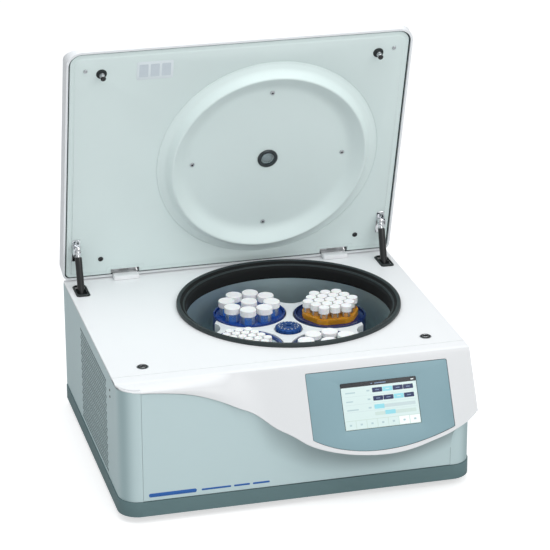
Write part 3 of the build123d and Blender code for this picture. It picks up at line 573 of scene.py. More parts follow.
NODES_BY_BEVEL = {  # edge width: pieces
    1.6: "deck_hinge_brackets", 1.2: "base_tray rotor_cross", 1.0: "feet top_deck",
    0.9: "bucket_1 bucket_2 bucket_3 bucket_4", 0.8: "lid_hinge_leaves motor_housing",
    0.6: "power_switch power_supply",
    0.5: "rear_panel mains_inlet rack_1 rack_4 fan_shroud",
    0.4: "rack_2 rack_3 strut_brackets", 0.35: "display_bezel",
    0.3: "lid_ball_studs latch_bar touch_screen",
}


def by_name(groups):
    return {name: key for key, names in groups.items() for name in names.split()}


def finish_cad_nodes():
    finishes, bevels = by_name(NODES_BY_FINISH), by_name(NODES_BY_BEVEL)
    for name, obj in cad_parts.items():
        obj.data.materials.clear()
        obj.data.materials.append(MT[finishes[name]])
        if name in ("tubes_1", "tubes_2", "condenser_coil"):
            continue
        obj.modifiers.new("weld", "WELD").merge_threshold = 2e-6
        if name in bevels:
            edge = obj.modifiers.new("edge", "BEVEL")
            edge.width = bevels[name] * MM
            edge.segments = 2
            edge.limit_method = "ANGLE"
            edge.angle_limit = radians(40)
            edge.use_clamp_overlap = True


# ---------------------------------------------------------------- fascia
LIP = [  # front lower edge of the white moulding: x, y, z
    (-357.5, -261.0, 279.2), (-352.0, -278.0, 278.4), (-340.0, -291.0, 277.0),
    (-325.0, -298.0, 276.0), (-300.0, -299.5, 274.6), (-265.0, -299.5, 270.5),
    (-230.0, -299.5, 264.9), (-196.0, -300.0, 255.8), (-160.0, -301.5, 242.0),
    (-126.0, -304.0, 225.5), (-92.0, -309.5, 208.8), (-55.0, -317.4, 180.5),
    (-23.0, -326.8, 163.3), (9.0, -337.6, 143.6), (42.6, -344.5, 131.2),
    (77.0, -349.1, 122.8), (112.0, -352.1, 117.4), (147.0, -353.5, 114.7),
    (183.0, -353.3, 115.0), (220.0, -350.9, 119.5), (257.0, -346.2, 128.0),
    (295.0, -340.7, 138.0), (334.0, -331.9, 154.0), (350.0, -326.2, 164.4),
    (357.5, -323.2, 169.9)]
CHEEK_BACK = [  # rear edge of the right cheek, going up: y, z
    (-304, 178), (-294, 184.5), (-284, 192), (-272, 203.5), (-262, 214), (-252, 227),
    (-244, 240), (SEAM_Y - 0.3, 264)]
BEZEL_X0, BEZEL_X1, BEZEL_TOP, BEZEL_R = 17.5, 306.5, -19.5, 3.0
BEZEL_LOW = [  # sagging lower edge of the display bezel on the slope: x, y
    (17.5, -150.0), (43.0, -162.5), (70.0, -172.0), (95.0, -177.6), (120.0, -181.2),
    (146.0, -182.6), (172.0, -182.0), (199.0, -179.8), (226.0, -175.5), (254.0, -169.2),
    (281.0, -161.5), (306.0, -153.0)]
VISOR_Y, VISOR_GAP, VISOR_RISE = -266.0, 0.6, 25.4


def lip_at(x):
    """y, z of the lip; right of x = -66 it lies in the plane of the slope."""
    y, z = interp(LIP, x)
    on_slope = SLOPE_TOP[0] - (SLOPE_TOP[1] - z) / SLOPE_COS * SLOPE_SIN
    return y + (on_slope - y) * clamp((x + 126.0) / 60.0), z


def visor_under(x, y):
    """Height of the visor's underside."""
    lip_y, lip_z = lip_at(x)
    t = (y - lip_y - 0.4) / (VISOR_Y - lip_y - 0.4)
    return lip_z + VISOR_GAP + VISOR_RISE * clamp(t)


def fascia_outer(x):
    """Outer line from the deck seam over the top strip and down to the lip: y, z."""
    lip_y, lip_z = lip_at(x)
    blend = smoothstep((-92.0 - x) / 140.0)  # 0 on the slope, 1 on the upright left part
    break_y = max(SLOPE_TOP[0], lip_y + 5.0)
    strip_y = SEAM_Y - 2.0
    line = [(SEAM_Y - 0.3, DECK_Z - 0.9), (SEAM_Y - 0.9, DECK_Z - 0.1), (strip_y, DECK_Z)]
    line += [(strip_y + (break_y + 7.0 - strip_y) * i / 5, DECK_Z - 0.05 * i / 5)
             for i in range(1, 6)]
    top = (break_y - 1.5, DECK_Z - 3.3 + 2.2 * blend)
    pull_y, pull_z = (top[0] + lip_y) / 2, (top[1] + lip_z) / 2
    pull = (pull_y + (lip_y + 1.0 - pull_y) * blend, pull_z + (DECK_Z - 1.0 - pull_z) * blend)
    # soft roll from the top strip into the slope
    line += bezier(line[-1], (break_y + 1.0, DECK_Z), top, 6, 1, 5)
    return line + bezier(top, pull, (lip_y, lip_z), 22, 0, 22)


def inward(line, depth):
    moved = []
    for i, (y, z) in enumerate(line):
        before, after = line[max(0, i - 1)], line[min(len(line) - 1, i + 1)]
        run_y, run_z = after[0] - before[0], after[1] - before[1]
        length = hypot(run_y, run_z)
        moved.append((y - run_z / length * depth, z + run_y / length * depth))
    return moved


def fascia_section(x):
    outer = fascia_outer(x)
    inner = inward(outer, SKIN)
    inner[0] = (outer[0][0], inner[0][1])
    inner.append(inner[-1])
    end_y, end_z = outer.pop()
    outer += [(end_y + 0.3 * SLOPE_SIN, end_z + 0.5), (end_y + 0.9, end_z - 0.25)]
    return outer + inner[::-1]


def visor_section(x):
    y, z = lip_at(x)
    back_z = z + VISOR_GAP + VISOR_RISE
    return [(y + 0.4, z + VISOR_GAP), (VISOR_Y, back_z), (VISOR_Y, back_z + SKIN),
            (y + 2.6, z + 4.4)]


def bezel_outline(grow):
    """Clockwise outline on the slope: two rounded upper corners and the sagging edge."""
    line = []
    for cx, start in ((BEZEL_X0 + BEZEL_R, 90), (BEZEL_X1 - BEZEL_R, 0)):
        line += corner(cx, BEZEL_TOP - BEZEL_R, BEZEL_R, start, 6)[::-1]
    low_x1, steps = 306.2, 48
    for k in range(steps + 1):
        x = low_x1 - (low_x1 - BEZEL_X0) * k / steps
        line.append((x, interp(BEZEL_LOW, x)[0]))
    moved = []
    for i, (x, y) in enumerate(line):
        before, after = line[i - 1], line[(i + 1) % len(line)]
        run_x, run_y = after[0] - before[0], after[1] - before[1]
        length = hypot(run_x, run_y)
        moved.append((x - run_y / length * grow, y + run_x / length * grow))
    return moved


def cut_bezel_opening(shell):
    low, high = level_rings(bezel_outline, [(0.9, -14), (0.9, 14)], slope_point)
    cutter = make("bezel_cutter", prism(low, high), "white", sharp=35)
    opening = shell.modifiers.new("opening", "BOOLEAN")
    opening.operation = "DIFFERENCE"
    opening.solver = "EXACT"
    opening.object = cutter
    graph = bpy.context.evaluated_depsgraph_get()
    mesh = bpy.data.meshes.new_from_object(shell.evaluated_get(graph))
    shell.modifiers.clear()
    shell.data = mesh
    bpy.data.objects.remove(cutter)
    mesh.set_sharp_from_angle(angle=radians(32))


def build_fascia():
    xs = stations(-HALF_W, HALF_W - SKIN, 9.0, (-352.0, -340.0, -325.0, 350.0))
    shell = make("fascia_shell", strip_skin(xs, fascia_section), "white_shaded", sharp=32)
    cut_bezel_opening(shell)
    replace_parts(shell, "fascia")
    cheek = fascia_outer(HALF_W) + CHEEK_BACK
    ends = [[(x, y, z) for y, z in cheek] for x in (HALF_W - SKIN, HALF_W)]
    make("fascia_cheek", prism(*ends), "white_shaded")
    make("fascia_visor", strip_skin((311.5, 325.0, 334.0, 343.0, 350.0, 354.3), visor_section),
         "white_shaded")


# ---------------------------------------------------------------- display
SCREEN = (84.0, 239.5, -139.0, -46.5)  # opening on the slope: x0, x1, y0, y1


def build_bezel():
    """Plate with a softened rim and a screen opening."""
    skirt = level_rings(bezel_outline, [(0.0, -3.6), (0.0, -0.9), (-0.25, -0.55), (-0.7, -0.4)],
                        slope_point)
    opening = level_rings(lambda grow: rounded_rect(grown(SCREEN, grow), 2.4 + grow, 6),
                          [(0.9, -0.4), (0.45, -0.55), (0.3, -1.0), (0.3, -3.6)], slope_point)
    mesh = plate_with_hole("bezel_plate", skirt, opening)
    add_object(mesh, "bezel", "root", 30, "display_bezel")


def screen_tones():
    tones = {  # name: colour, glow
        "pale": ((0.60, 0.72, 0.705), 0.20), "navy": ((0.003, 0.014, 0.075), 0.2),
        "cyan": ((0.24, 0.58, 0.66), 0.25), "dark": ((0.003, 0.005, 0.009), 0.2),
        "white": ((0.80, 0.86, 0.85), 0.22), "line": ((0.34, 0.45, 0.47), 0.4),
        "bar": ((0.47, 0.57, 0.58), 0.25), "green": ((0.20, 0.52, 0.30), 0.5),
        "tint": ((0.52, 0.64, 0.60), 0.20), "mark": ((0.16, 0.24, 0.38), 0.2)}
    return {name: mat("ui_" + name, color, rough=0.18, emit=glow, var=0.02, var_scale=300,
                      coat=0.6, grain=0.05, grain_scale=4000, spec=0.6, rough_var=0.02)
            for name, (color, glow) in tones.items()}


def build_display():
    """Glass with a picture made of thin coloured blocks."""
    tones = screen_tones()
    glass_box = grown(SCREEN, -0.1)
    make("display_glass", slab(lambda grow: rounded_rect(grown(glass_box, grow), 2.2 + grow, 5),
                               [(0, -3.4), (0, -1.35), (-0.15, -1.1), (-0.5, -1.0)],
                               slope_point),
         tones["dark"], replaces="touch_screen")
    width, height = SCREEN[1] - SCREEN[0], SCREEN[3] - SCREEN[2]

    def tile(name, x0, y0, x1, y1, tone, level=-0.90, radius=1.2):
        """x and y are fractions of the screen from its lower left corner."""
        box = (SCREEN[0] + x0 * width, SCREEN[0] + x1 * width,
               SCREEN[2] + y0 * height, SCREEN[2] + y1 * height)
        radius = min(radius, (box[1] - box[0]) * 0.49, (box[3] - box[2]) * 0.49)
        make("ui_" + name, slab(rounded(box, radius, 4), [(0, level - 0.06), (-0.05, level)],
                                slope_point), tones[tone], sharp=20)

    tile("page", 0.004, 0.006, 0.996, 0.915, "pale", -0.95, 1.0)
    tile("top_bar", 0.004, 0.905, 0.996, 0.994, "dark", -0.92, 0.6)
    for i, (x0, x1) in enumerate(((0.40, 0.42), (0.45, 0.60), (0.93, 0.965))):
        tile("status_%d" % i, x0, 0.938, x1, 0.958, "mark" if i < 2 else "white", radius=0.3)
    for k, (y, lit) in enumerate(((0.755, 1), (0.575, 2))):
        for i in range(4):
            x0 = 0.410 + 0.136 * i
            x1 = x0 + 0.132
            tile("key_%d_%d" % (k, i), x0, y, x1, y + 0.098, "cyan" if i == lit else "navy")
            tile("key_mark_%d_%d" % (k, i), x0 + 0.040, y + 0.040, x1 - 0.040, y + 0.057,
                 "pale" if i == lit else "mark", -0.87, 0.3)
    tile("slot_a", 0.413, 0.400, 0.545, 0.495, "cyan", -0.88)
    tile("slot_b", 0.410, 0.412, 0.955, 0.484, "bar")
    tile("slot_c", 0.410, 0.262, 0.955, 0.335, "tint")
    tile("slot_d", 0.545, 0.262, 0.682, 0.352, "cyan", -0.88)
    for i, (y, length) in enumerate(((0.775, 0.13), (0.590, 0.09), (0.410, 0.15))):
        tile("caption_%d" % i, 0.055, y, 0.055 + length, y + 0.026, "line", radius=0.3)
        tile("value_%d" % i, 0.335, y + 0.01, 0.375, y + 0.045, "line", radius=0.3)
    for i, y in enumerate((0.705, 0.530, 0.375)):
        tile("rule_%d" % i, 0.04, y, 0.97, y + 0.005, "bar", -0.91, 0.1)
    tile("toolbar", 0.004, 0.006, 0.996, 0.205, "tint", -0.925, 0.8)
    for i in range(7):
        x = 0.012 + i * 0.141
        tile("tool_%d" % i, x, 0.020, x + 0.132, 0.190, "white" if i > 4 else "pale",
             radius=0.9)
        tile("tool_mark_%d" % i, x + 0.050, 0.085, x + 0.080, 0.125, "line", -0.87,
             0.8 if i % 2 else 0.3)


# ---------------------------------------------------------------- front cover
FLARE = [  # height where the cover starts to swell forward: x, z
    (-357.5, 262.0), (-230.0, 250.0), (-150.0, 214.0), (-120.0, 176.0), (-78.0, 126.0),
    (-31.0, 94.0), (41.0, 64.0), (127.0, 54.0), (220.0, 58.0), (300.0, 80.0), (357.5, 112.0)]


def cover_outer(x):
    """Outer line from the base band up to just behind the lip: y, z."""
    lip_y, lip_z = lip_at(x)
    end_y, end_z = lip_y + 4.2 * SLOPE_COS, lip_z - 4.2 * SLOPE_SIN
    flare_z = min(interp(FLARE, x)[0], end_z - 4.0)
    if end_y > FRONT_Y - 0.5:
        end_y, end_z = FRONT_Y - 0.5, lip_z - 1.0
    foot_z = BAND_Z + 1.3
    line = [(FRONT_Y + 0.8, BAND_Z + 0.5), (FRONT_Y, foot_z)]
    line += [(FRONT_Y, foot_z + (flare_z - foot_z) * i / 6) for i in range(1, 7)]
    pull = (FRONT_Y, flare_z + 0.62 * (end_z - flare_z))
    return line + bezier((FRONT_Y, flare_z), pull, (end_y, end_z), 16, 1, 16)


def cover_section(x):
    outer = cover_outer(x)
    top = outer[-1][1] if x <= -110 else float("inf")
    inner = [(y + 3.0, min(z + max(0.0, 2.4 * (k - 8) / 15), top))
             for k, (y, z) in enumerate(outer)]
    return outer + inner[::-1]


def build_front_cover():
    # painted shade: the cover grey darkens where the flare under the lip faces down
    paint = facing_shade(MT["grey"], "powder_grey_flare_shade", lean=(-0.75, -0.02), tone=(0.60, 1.0))
    # gusset closing the right end between the cover, the lip and the visor
    line = cover_outer(SEAM_R - 0.5)[7:]
    lip_y, lip_z = lip_at(SEAM_R)
    back_y = FRONT_Y + 4.0
    line += [(lip_y + 0.6, lip_z + 0.4), (back_y, visor_under(SEAM_R, back_y) - 0.4),
             (back_y, line[0][1])]
    ends = [[(x, y, z) for y, z in line] for x in (SEAM_R - 2.2, SEAM_R + 0.8)]
    make("front_cover_gusset", prism(*ends), paint)
    make("front_cover_shell",
         strip_skin(stations(SEAM_L + 0.5, SEAM_R - 0.5, 8.0), cover_section), paint,
         sharp=32, replaces="front_cover")


# ---------------------------------------------------------------- side panels
GRILLE_Y0, GRILLE_Y1, GRILLE_Z0, GRILLE_Z1 = -168.0, 108.0, 52.0, 255.0
HOLE_PITCH, HOLE_R = 10.2, 3.75
SHEET_Z0, SHEET_Z1 = BAND_Z + 0.5, DECK_Z - 4.4
RIGHT_TOP = [  # upper edge of the right sheet towards the front: y, z
    (-300.0, 158.0), (-284.0, 187.0), (-262.0, 209.0), (-242.0, 235.0), (SEAM_Y, 259.0)]
# corners and edge middles of a unit cell, in step with the eight hole points
CELL = ((1, 1), (0.5, 1), (0, 1), (0, 0.5), (0, 0), (0.5, 0), (1, 0), (1, 0.5))


def corner_path(side):
    """Plan path (x, y) round the front corner and the outward normal at each point."""
    path, normals = [(SEAM_L if side < 0 else SEAM_R, FRONT_Y)], [(0, -1)]
    for k in range(13):
        angle = radians(90 * k / 12)
        out_x, out_y = side * sin(angle), -cos(angle)
        path.append((side * (HALF_W - CORNER_R) + CORNER_R * out_x,
                     FRONT_Y + CORNER_R + CORNER_R * out_y))
        normals.append((out_x, out_y))
    return path, normals


def sheet_top(side, x, y):
    if side < 0:
        return 278.2 if y < SEAM_Y + 6 else SHEET_Z1
    if y < -270:
        return max(interp(RIGHT_TOP, y)[0], visor_under(min(x, 353.5), y) - 0.6)
    return interp(RIGHT_TOP, y)[0] if y < SEAM_Y + 1 else SHEET_Z1


def side_sheet_mesh(name, side):
    """Sheet wrapped round the front corner, with staggered eight-sided holes."""
    bm = bmesh.new()
    shared = {}

    def vertex(point):
        key = tuple(round(c, 3) for c in point)
        if key not in shared:
            shared[key] = bm.verts.new(metres(key))
        return shared[key]

    def face(points, slot=0):
        bm.faces.new([vertex(p) for p in points]).material_index = slot

    wall = side * HALF_W

    def panel(y0, y1, z0, z1):
        face([(wall, y0, z0), (wall, y1, z0), (wall, y1, z1), (wall, y0, z1)])

    # from the front seam round the corner to the grille
    path = corner_path(side)[0] + [(wall, y) for y in (
        -254.0, -250.0, -246.0, -242.0, -236.0, -229.5, -223.0, -222.9, -205.0, -190.0,
        GRILLE_Y0)]
    rows = 8
    for (x0, y0), (x1, y1) in zip(path, path[1:]):
        rise0, rise1 = (sheet_top(side, x, y) - SHEET_Z0 for x, y in ((x0, y0), (x1, y1)))
        for i in range(rows):
            t0, t1 = i / rows, (i + 1) / rows
            face([(x0, y0, SHEET_Z0 + rise0 * t0), (x1, y1, SHEET_Z0 + rise1 * t0),
                  (x1, y1, SHEET_Z0 + rise1 * t1), (x0, y0, SHEET_Z0 + rise0 * t1)])
    # plain sheet below, above and behind the grille
    panel(GRILLE_Y0, GRILLE_Y1, SHEET_Z0, GRILLE_Z0)
    panel(GRILLE_Y0, GRILLE_Y1, GRILLE_Z1, SHEET_Z1)
    for y0, y1 in ((GRILLE_Y1, 200.0), (200.0, 296.9), (296.9, 297.7)):
        panel(y0, y1, SHEET_Z0, SHEET_Z1)
    # the grille: every other row is shifted by half a cell
    columns = round((GRILLE_Y1 - GRILLE_Y0) / HOLE_PITCH)
    rows = round((GRILLE_Z1 - GRILLE_Z0) / (HOLE_PITCH * 0.87))
    cell_y, cell_z = (GRILLE_Y1 - GRILLE_Y0) / columns, (GRILLE_Z1 - GRILLE_Z0) / rows
    for row in range(rows):
        z0 = GRILLE_Z0 + row * cell_z
        shift = (row % 2) * 0.5
        if shift:
            panel(GRILLE_Y0, GRILLE_Y0 + cell_y / 2, z0, z0 + cell_z)
            panel(GRILLE_Y1 - cell_y / 2, GRILLE_Y1, z0, z0 + cell_z)
        for column in range(columns - (row % 2)):
            y0 = GRILLE_Y0 + (column + shift) * cell_y
            hole = [(wall, y, z) for y, z in (
                (y0 + cell_y / 2 + HOLE_R * cos(radians(45 + 45 * k)),
                 z0 + cell_z / 2 + HOLE_R * sin(radians(45 + 45 * k))) for k in range(8))]
            depth = [(wall - side * 1.1, y, z) for _, y, z in hole]
            square = [(wall, y0 + cell_y * a, z0 + cell_z * b) for a, b in CELL]
            for k in range(8):
                j = (k + 1) % 8
                face([square[k], square[j], hole[j], hole[k]])
                # hole walls take slot 1, the painted shade
                face([hole[k], hole[j], depth[j], depth[k]], slot=1)
    mesh = bpy.data.meshes.new(name)
    fill_mesh(bm, mesh)
    return mesh


def front_return(name, side):
    """White return of the front moulding, tucked behind the top of the sheet."""
    inset = 3.6
    walk = [(x - nx * inset, y - ny * inset) for (x, y), (nx, ny) in zip(*corner_path(side))]
    walk += [(side * (HALF_W - inset), y) for y in (-256.0, -250.0, -244.0, -240.0)]
    n = len(walk)
    points = [(x, y, z) for z in (266.0, 282.6) for x, y in walk]
    make(name, (points, [(i, i + 1, n + i + 1, n + i) for i in range(n - 1)]), "white",
         sharp=40)


def build_side(side, label, paint):
    name = label + "_side_sheet"
    mesh = side_sheet_mesh(name, side)
    add_object(mesh, paint, "root", replaces=label + "_side_panel")
    mesh.materials.append(MT["hole_shade"])
    # only the rounded front corner is smooth
    for p in mesh.polygons:
        p.use_smooth = (abs(p.normal.x) < 0.9995 and abs(p.normal.z) < 0.1
                        and max(mesh.vertices[i].co.y for i in p.vertices) < -0.25)
    wall = side * HALF_W
    y0, y1, z0, z1 = grown((GRILLE_Y0, GRILLE_Y1, GRILLE_Z0, GRILLE_Z1), 1)
    near, far = sorted((wall - side * 0.6, wall - side * 2.5))
    # inner walls, so that the sheet edges read as folded metal
    folds = [block(near, far, *sizes) for sizes in (
        (GRILLE_Y0 - 46, y0, SHEET_Z0, 268), (y1, 297.0, SHEET_Z0, 278),
        (y0, y1, SHEET_Z0, z0), (y0, y1, z1, 278))]
    make(name + "_fold", join(folds), "grey")
    if side < 0:
        front_return(name + "_return", side)
    # dark mat behind the grille
    make(name + "_filter",
         block(*sorted((wall - side * 6.0, wall - side * 7.0)),
               *grown((GRILLE_Y0, GRILLE_Y1, GRILLE_Z0, GRILLE_Z1), 2)), "black_rubber")


def build_side_plugs():
    """Two small domes in front of the left grille, near its top."""
    dome = lathe([(0, 0.9), (1.6, 0.9), (2.6, 0.35), (2.9, -0.4), (0, -0.4)], sides=20)
    for i, z in enumerate((248.0, 234.0)):
        make("side_plug_%d" % i, along_x(dome, -HALF_W, -205.0, z, side=-1), "black")


# ---------------------------------------------------------------- gasket and bowl
GASKET = [  # radius, z
    (231.6, 283.75), (232.2, 284.6), (232.2, 289.2), (231.8, 291.2), (230.9, 292.5),
    (229.4, 293.1), (227.4, 293.0), (225.6, 292.3), (224.2, 291.0), (223.2, 289.2),
    (222.4, 287.4), (221.2, 286.2), (219.8, 286.0), (218.6, 286.5), (217.6, 286.8),
    (216.7, 286.4), (216.0, 285.2), (215.4, 283.6), (214.4, 282.0), (213.2, 280.8),
    (212.3, 279.4), (212.0, 277.2), (212.0, 273.2), (212.0, 262.0), (212.2, 257.6),
    (212.8, 256.2), (213.8, 255.6), (214.8, 256.0), (215.2, 257.2), (215.2, 266.6),
    (216.4, 268.3), (221.2, 268.3), (221.2, 283.75)]
BOWL = [  # radius, z: inner surface downwards, then the outer surface back up
    (229.8, 267.7), (220.5, 267.7), (218.0, 267.2), (BOWL_R, 265.6), (BOWL_R, 250),
    (BOWL_R, 200), (BOWL_R, 160), (BOWL_R, 130), (216.3, 124), (214.6, 117.6), (211, 112.2),
    (206.5, 108.2), (200, 105.4), (190, 104.1), (150, 104), (100, 104), (62, 104),
    (55, 106.0), (50, 109.2), (44, 111.6), (26.2, 113.8), (26.2, 112.7), (43.5, 110.4),
    (59.5, 102.8), (190.5, 102.7), (204, 105.2), (214, 113.2), (218.3, 127.5),
    (218.3, 266.5), (229.8, 266.5)]


def build_gasket():
    ring = make("gasket_ring", lathe(GASKET, CX, CY, 192), "gasket", sharp=50)
    ring.data.materials.append(MT["gasket_shade"])
    # painted shade: the inner wall and the groove behind the small bead take a near-black copy
    # of the rubber, standing in for the shade down in the recess
    for p in ring.data.polygons:
        radius, z = hypot(p.center.x - CX * MM, p.center.y - CY * MM), p.center.z
        if (radius < 0.2157 and z < 0.2835) or (0.2189 < radius < 0.2238 and z < 0.2905):
            p.material_index = 1
    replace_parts(ring, "chamber_gasket")


def build_bowl():
    make("bowl_liner", lathe(BOWL, CX, CY, 192), "bowl", sharp=50,
         replaces="chamber_bowl")


# ---------------------------------------------------------------- lid
PANEL_X, PANEL_Y0, PANEL_Y1 = 355, -239.9, 312.6
PANEL_FRONT_R, PANEL_REAR_R = 26, 12
NOTCH_Y, NOTCH_HALF = 302.0, 29
PANEL_RIM = [  # grow, height above PANEL_Z
    (-1.6, 3.0), (-1.6, 1.4), (-1.9, 0.55), (-2.5, 0.1), (-3.3, 0.0), (-8.5, 0.0),
    (-10.0, -0.25), (-11.5, -0.95), (-13.0, -1.2)]
GAP_SHADOW = [  # grow, height above PANEL_Z
    # painted shadow: outline of the dark strip in the gap round the panel
    (1.55, 2.9), (1.5, 2.0), (0.2, 1.7), (-1.3, 1.9), (-1.4, 2.9)]
DISH_EDGE = [  # radius, height above LAND_Z
    (239.2, 0.0), (238.6, 0.25), (238.2, 1.0), (237.0, 1.0), (236.6, 0.2), (236.0, -0.05),
    (234.4, -0.1)]
DISH = [  # radius, z: down into the ring groove and up to the flat middle
    (232.4, 296.0), (230.2, 295.3), (228.0, 294.55), (225.6, 293.75), (223.0, 292.85),
    (220.6, 291.6), (218.4, 289.8), (216.6, 287.4), (215.0, 285.0), (213.6, 283.1),
    (212.2, 281.2), (211.0, 279.5), (209.9, 278.2), (208.7, 277.35), (207.4, 276.95),
    (206.1, 277.05), (204.6, 277.75), (202.6, 279.1), (199.6, 281.2), (195.6, 284.1),
    (191.6, 287.0), (187.8, 289.7), (184.2, 292.0), (180.8, 293.8), (177.6, 295.1),
    (174.6, 296.0), (171.6, 296.6), (168.0, 296.95), (163, DISH_Z), (120, DISH_Z),
    (60, DISH_Z), (30, DISH_Z), (17.0, DISH_Z)]


def panel_outline(grow, notches=True):
    """Lid panel seen closed, counter-clockwise from the rear right corner."""
    rear_r, front_r = PANEL_REAR_R, PANEL_FRONT_R
    rear_y, front_y = PANEL_Y1 - rear_r, PANEL_Y0 + front_r
    line = corner(PANEL_X - rear_r, rear_y, rear_r + grow, 0, 8)
    if notches:
        for x in reversed(HINGES_X):
            right, left = x + NOTCH_HALF - grow, x - NOTCH_HALF + grow
            line += [(right, PANEL_Y1 + grow), (right, NOTCH_Y + grow),
                     (left, NOTCH_Y + grow), (left, PANEL_Y1 + grow)]
    line += corner(-PANEL_X + rear_r, rear_y, rear_r + grow, 90, 8)
    line += corner(-PANEL_X + front_r, front_y, front_r + grow, 180, 8)
    return line + corner(PANEL_X - front_r, front_y, front_r + grow, 270, 8)


def panel_point(x, y, height):
    return lid_point(x, y, PANEL_Z + height)


def land_point(x, y, height):
    return lid_point(x, y, LAND_Z + height)


def build_lid_liner():
    sides = 160
    profile = [(radius, LAND_Z + rise) for radius, rise in DISH_EDGE] + DISH
    dish = [[lid_point(CX + radius * cos(tau * k / sides), CY + radius * sin(tau * k / sides), z)
             for k in range(sides)] for radius, z in profile]
    mesh = plate_with_hole("lid_liner", level_rings(panel_outline, PANEL_RIM, panel_point),
                           dish)
    # painted shade: the panel grey darkens the more the surface faces down, so the ring's slopes
    # read as lit from above
    paint = facing_shade(MT["lid_grey"], "panel_grey_facing_shade", lean=(-0.80, 0.30), tone=(0.82, 1.0))
    add_object(mesh, paint, "lid", 28, "lid_inner_panel")


def build_lid_gap_shadow():
    """Dark strip in the gap between liner and shell: painted shadow, standing in for the shade
    that the shell's rim casts into the gap.
    """
    rings = level_rings(lambda grow: panel_outline(grow, notches=False), GAP_SHADOW, panel_point)
    make("lid_gap_shadow", loft_rings(rings, first_cap=False, last_cap=False), "dark_gap", "lid",
         sharp=None)


def build_lid_label():
    make("lid_plate", slab(rounded((-217, -142, -213.3, -171.3), 2.5, 4),
                           [(0, -0.02), (0, -0.22), (-0.15, -0.3)], land_point),
         "label", "lid")
    for i in range(3):
        x = -212.0 + i * 23.2
        make("lid_plate_cell_%d" % i,
             slab(rounded((x, x + 18.6, -207.0, -177.6), 1.5, 3), [(0, -0.3), (0, -0.36)],
                  land_point), "plate_cell", "lid")


def screw_head(x, y, radius, z):
    """Shallow dome with a recess, facing down from a surface at z."""
    return lathe([(0, z - 0.9), (radius * 0.42, z - 0.9), (radius * 0.46, z - 2.0),
                  (radius * 0.78, z - 1.9), (radius * 0.95, z - 1.3), (radius, z - 0.4),
                  (radius, z + 0.1), (0, z + 0.1)], x, y, 30)


def build_lid_screws():
    plugs = [(side * 280.0, 268.5, 5.6, LAND_Z) for side in (-1, 1)]
    screws = [(CX + 162 * cos(radians(a)), CY + 162 * sin(radians(a)), 5.0, DISH_Z)
              for a in (0, 90, 180, 270)]
    screws += [(side * 322.0, -201.0, 4.2, LAND_Z) for side in (-1, 1)]
    make("lid_plugs", join([screw_head(*s) for s in plugs]), "black", "lid",
         place=lid_point)
    make("lid_screw_heads", join([screw_head(*s) for s in screws]), "steel", "lid",
         replaces="lid_screws", place=lid_point)
    # painted shade: black discs in the screw head recesses stand in for the shade in their
    # sockets
    sockets = [lathe([(0, 295.7), (radius * 0.40, 295.7), (radius * 0.40, 296.3), (0, 296.3)],
                     x, y, 6) for x, y, radius, _ in screws]
    make("lid_screw_socket_shade", join(sockets), "black", "lid", place=lid_point)


def build_latch_seats():
    """Stepped rubber seats round the strikers and steel rings round the receivers."""
    for side, label in ((-1, "left"), (1, "right")):
        def ring(profile):
            return lathe(profile, side * LATCH_X, LATCH_Y, 48)

        make("striker_seat_" + label,
             ring([(5.25, 293.4), (7.2, 293.4), (8.2, 293.9), (8.6, 294.9), (8.8, 295.3),
                   (10.4, 295.6), (11.0, 296.2), (11.0, 296.5), (5.25, 296.5)]),
             "black_rubber", "lid", replaces="striker_collars" if side < 0 else None,
             place=lid_point)
        make("receiver_sleeve_" + label,
             ring([(5.6, 283.95), (6.25, 283.95), (6.25, 285.3), (5.9, 285.7), (5.6, 285.3)]),
             "steel")
        make("receiver_ring_" + label,
             ring([(10.55, 283.7), (12.2, 283.7), (12.2, 283.9), (11.6, 284.2),
                   (10.55, 284.2)]), "steel")


# ---------------------------------------------------------------- caps, tubes and contents
BUCKET_ANGLE = {1: 135, 2: 45, 3: 225, 4: -45}
TUBE_Z = 157.0  # lowest point of all tubes


def hex_rows(counts, row_step, pitch):
    """Staggered rows (radial, tangential) about a bucket centre, `counts` places in each."""
    return [((k - 2) * row_step, (i - (n - 1) / 2) * pitch)
            for k, n in enumerate(counts) for i in range(n)]


RING_9 = [(0.0, 0.0)] + [(47.6 * cos(radians(a)), 47.6 * sin(radians(a)))
                         for a in range(0, 360, 45)]
HEX_19 = hex_rows((3, 4, 5, 4, 3), 20.8, 24.0)
HEX_24 = hex_rows((4, 5, 6, 5, 4), 17.0, 19.6)


def in_bucket(bucket, places, build):
    """Join build(x, y) for every (radial, tangential) place of a bucket."""
    angle = ROTOR_TURN + radians(BUCKET_ANGLE[bucket])
    c, s = cos(angle), sin(angle)
    return join([build(CX + (PIVOT_R + radial) * c - across * s,
                       CY + (PIVOT_R + radial) * s + across * c)
                 for radial, across in places])


def cap(radius, z0, z1, ribs, bore):
    """Builder of a screw cap with a ribbed wall and a dished top."""
    rib_depth, n = 0.35, ribs * 4
    levels = [(bore, z0, False), (radius - 0.25, z0, False), (radius, z0 + 0.5, False),
              (radius, z0 + 1.3, False), (radius, z0 + 1.5, True), (radius, z1 - 2.3, True),
              (radius, z1 - 2.1, False), (radius, z1 - 1.3, False),
              (radius - 0.35, z1 - 0.5, False), (radius - 1.2, z1 - 0.05, False),
              (radius - 2.2, z1, False), (radius - 2.8, z1 - 0.1, False),
              (radius - 3.4, z1 - 0.55, False), (radius * 0.35, z1 - 0.55, False)]

    def build(x, y):
        rings = []
        for level_r, z, ribbed in levels:
            ring = []
            for i in range(n):
                r_here = level_r - (rib_depth if ribbed and i % 4 in (2, 3) else 0.0)
                ring.append((x + r_here * cos(tau * i / n), y + r_here * sin(tau * i / n), z))
            rings.append(ring)
        return loft_rings(rings, first_cap=False)

    return build


def turned(profile, sides):
    return lambda x, y: lathe(profile, x, y, sides)


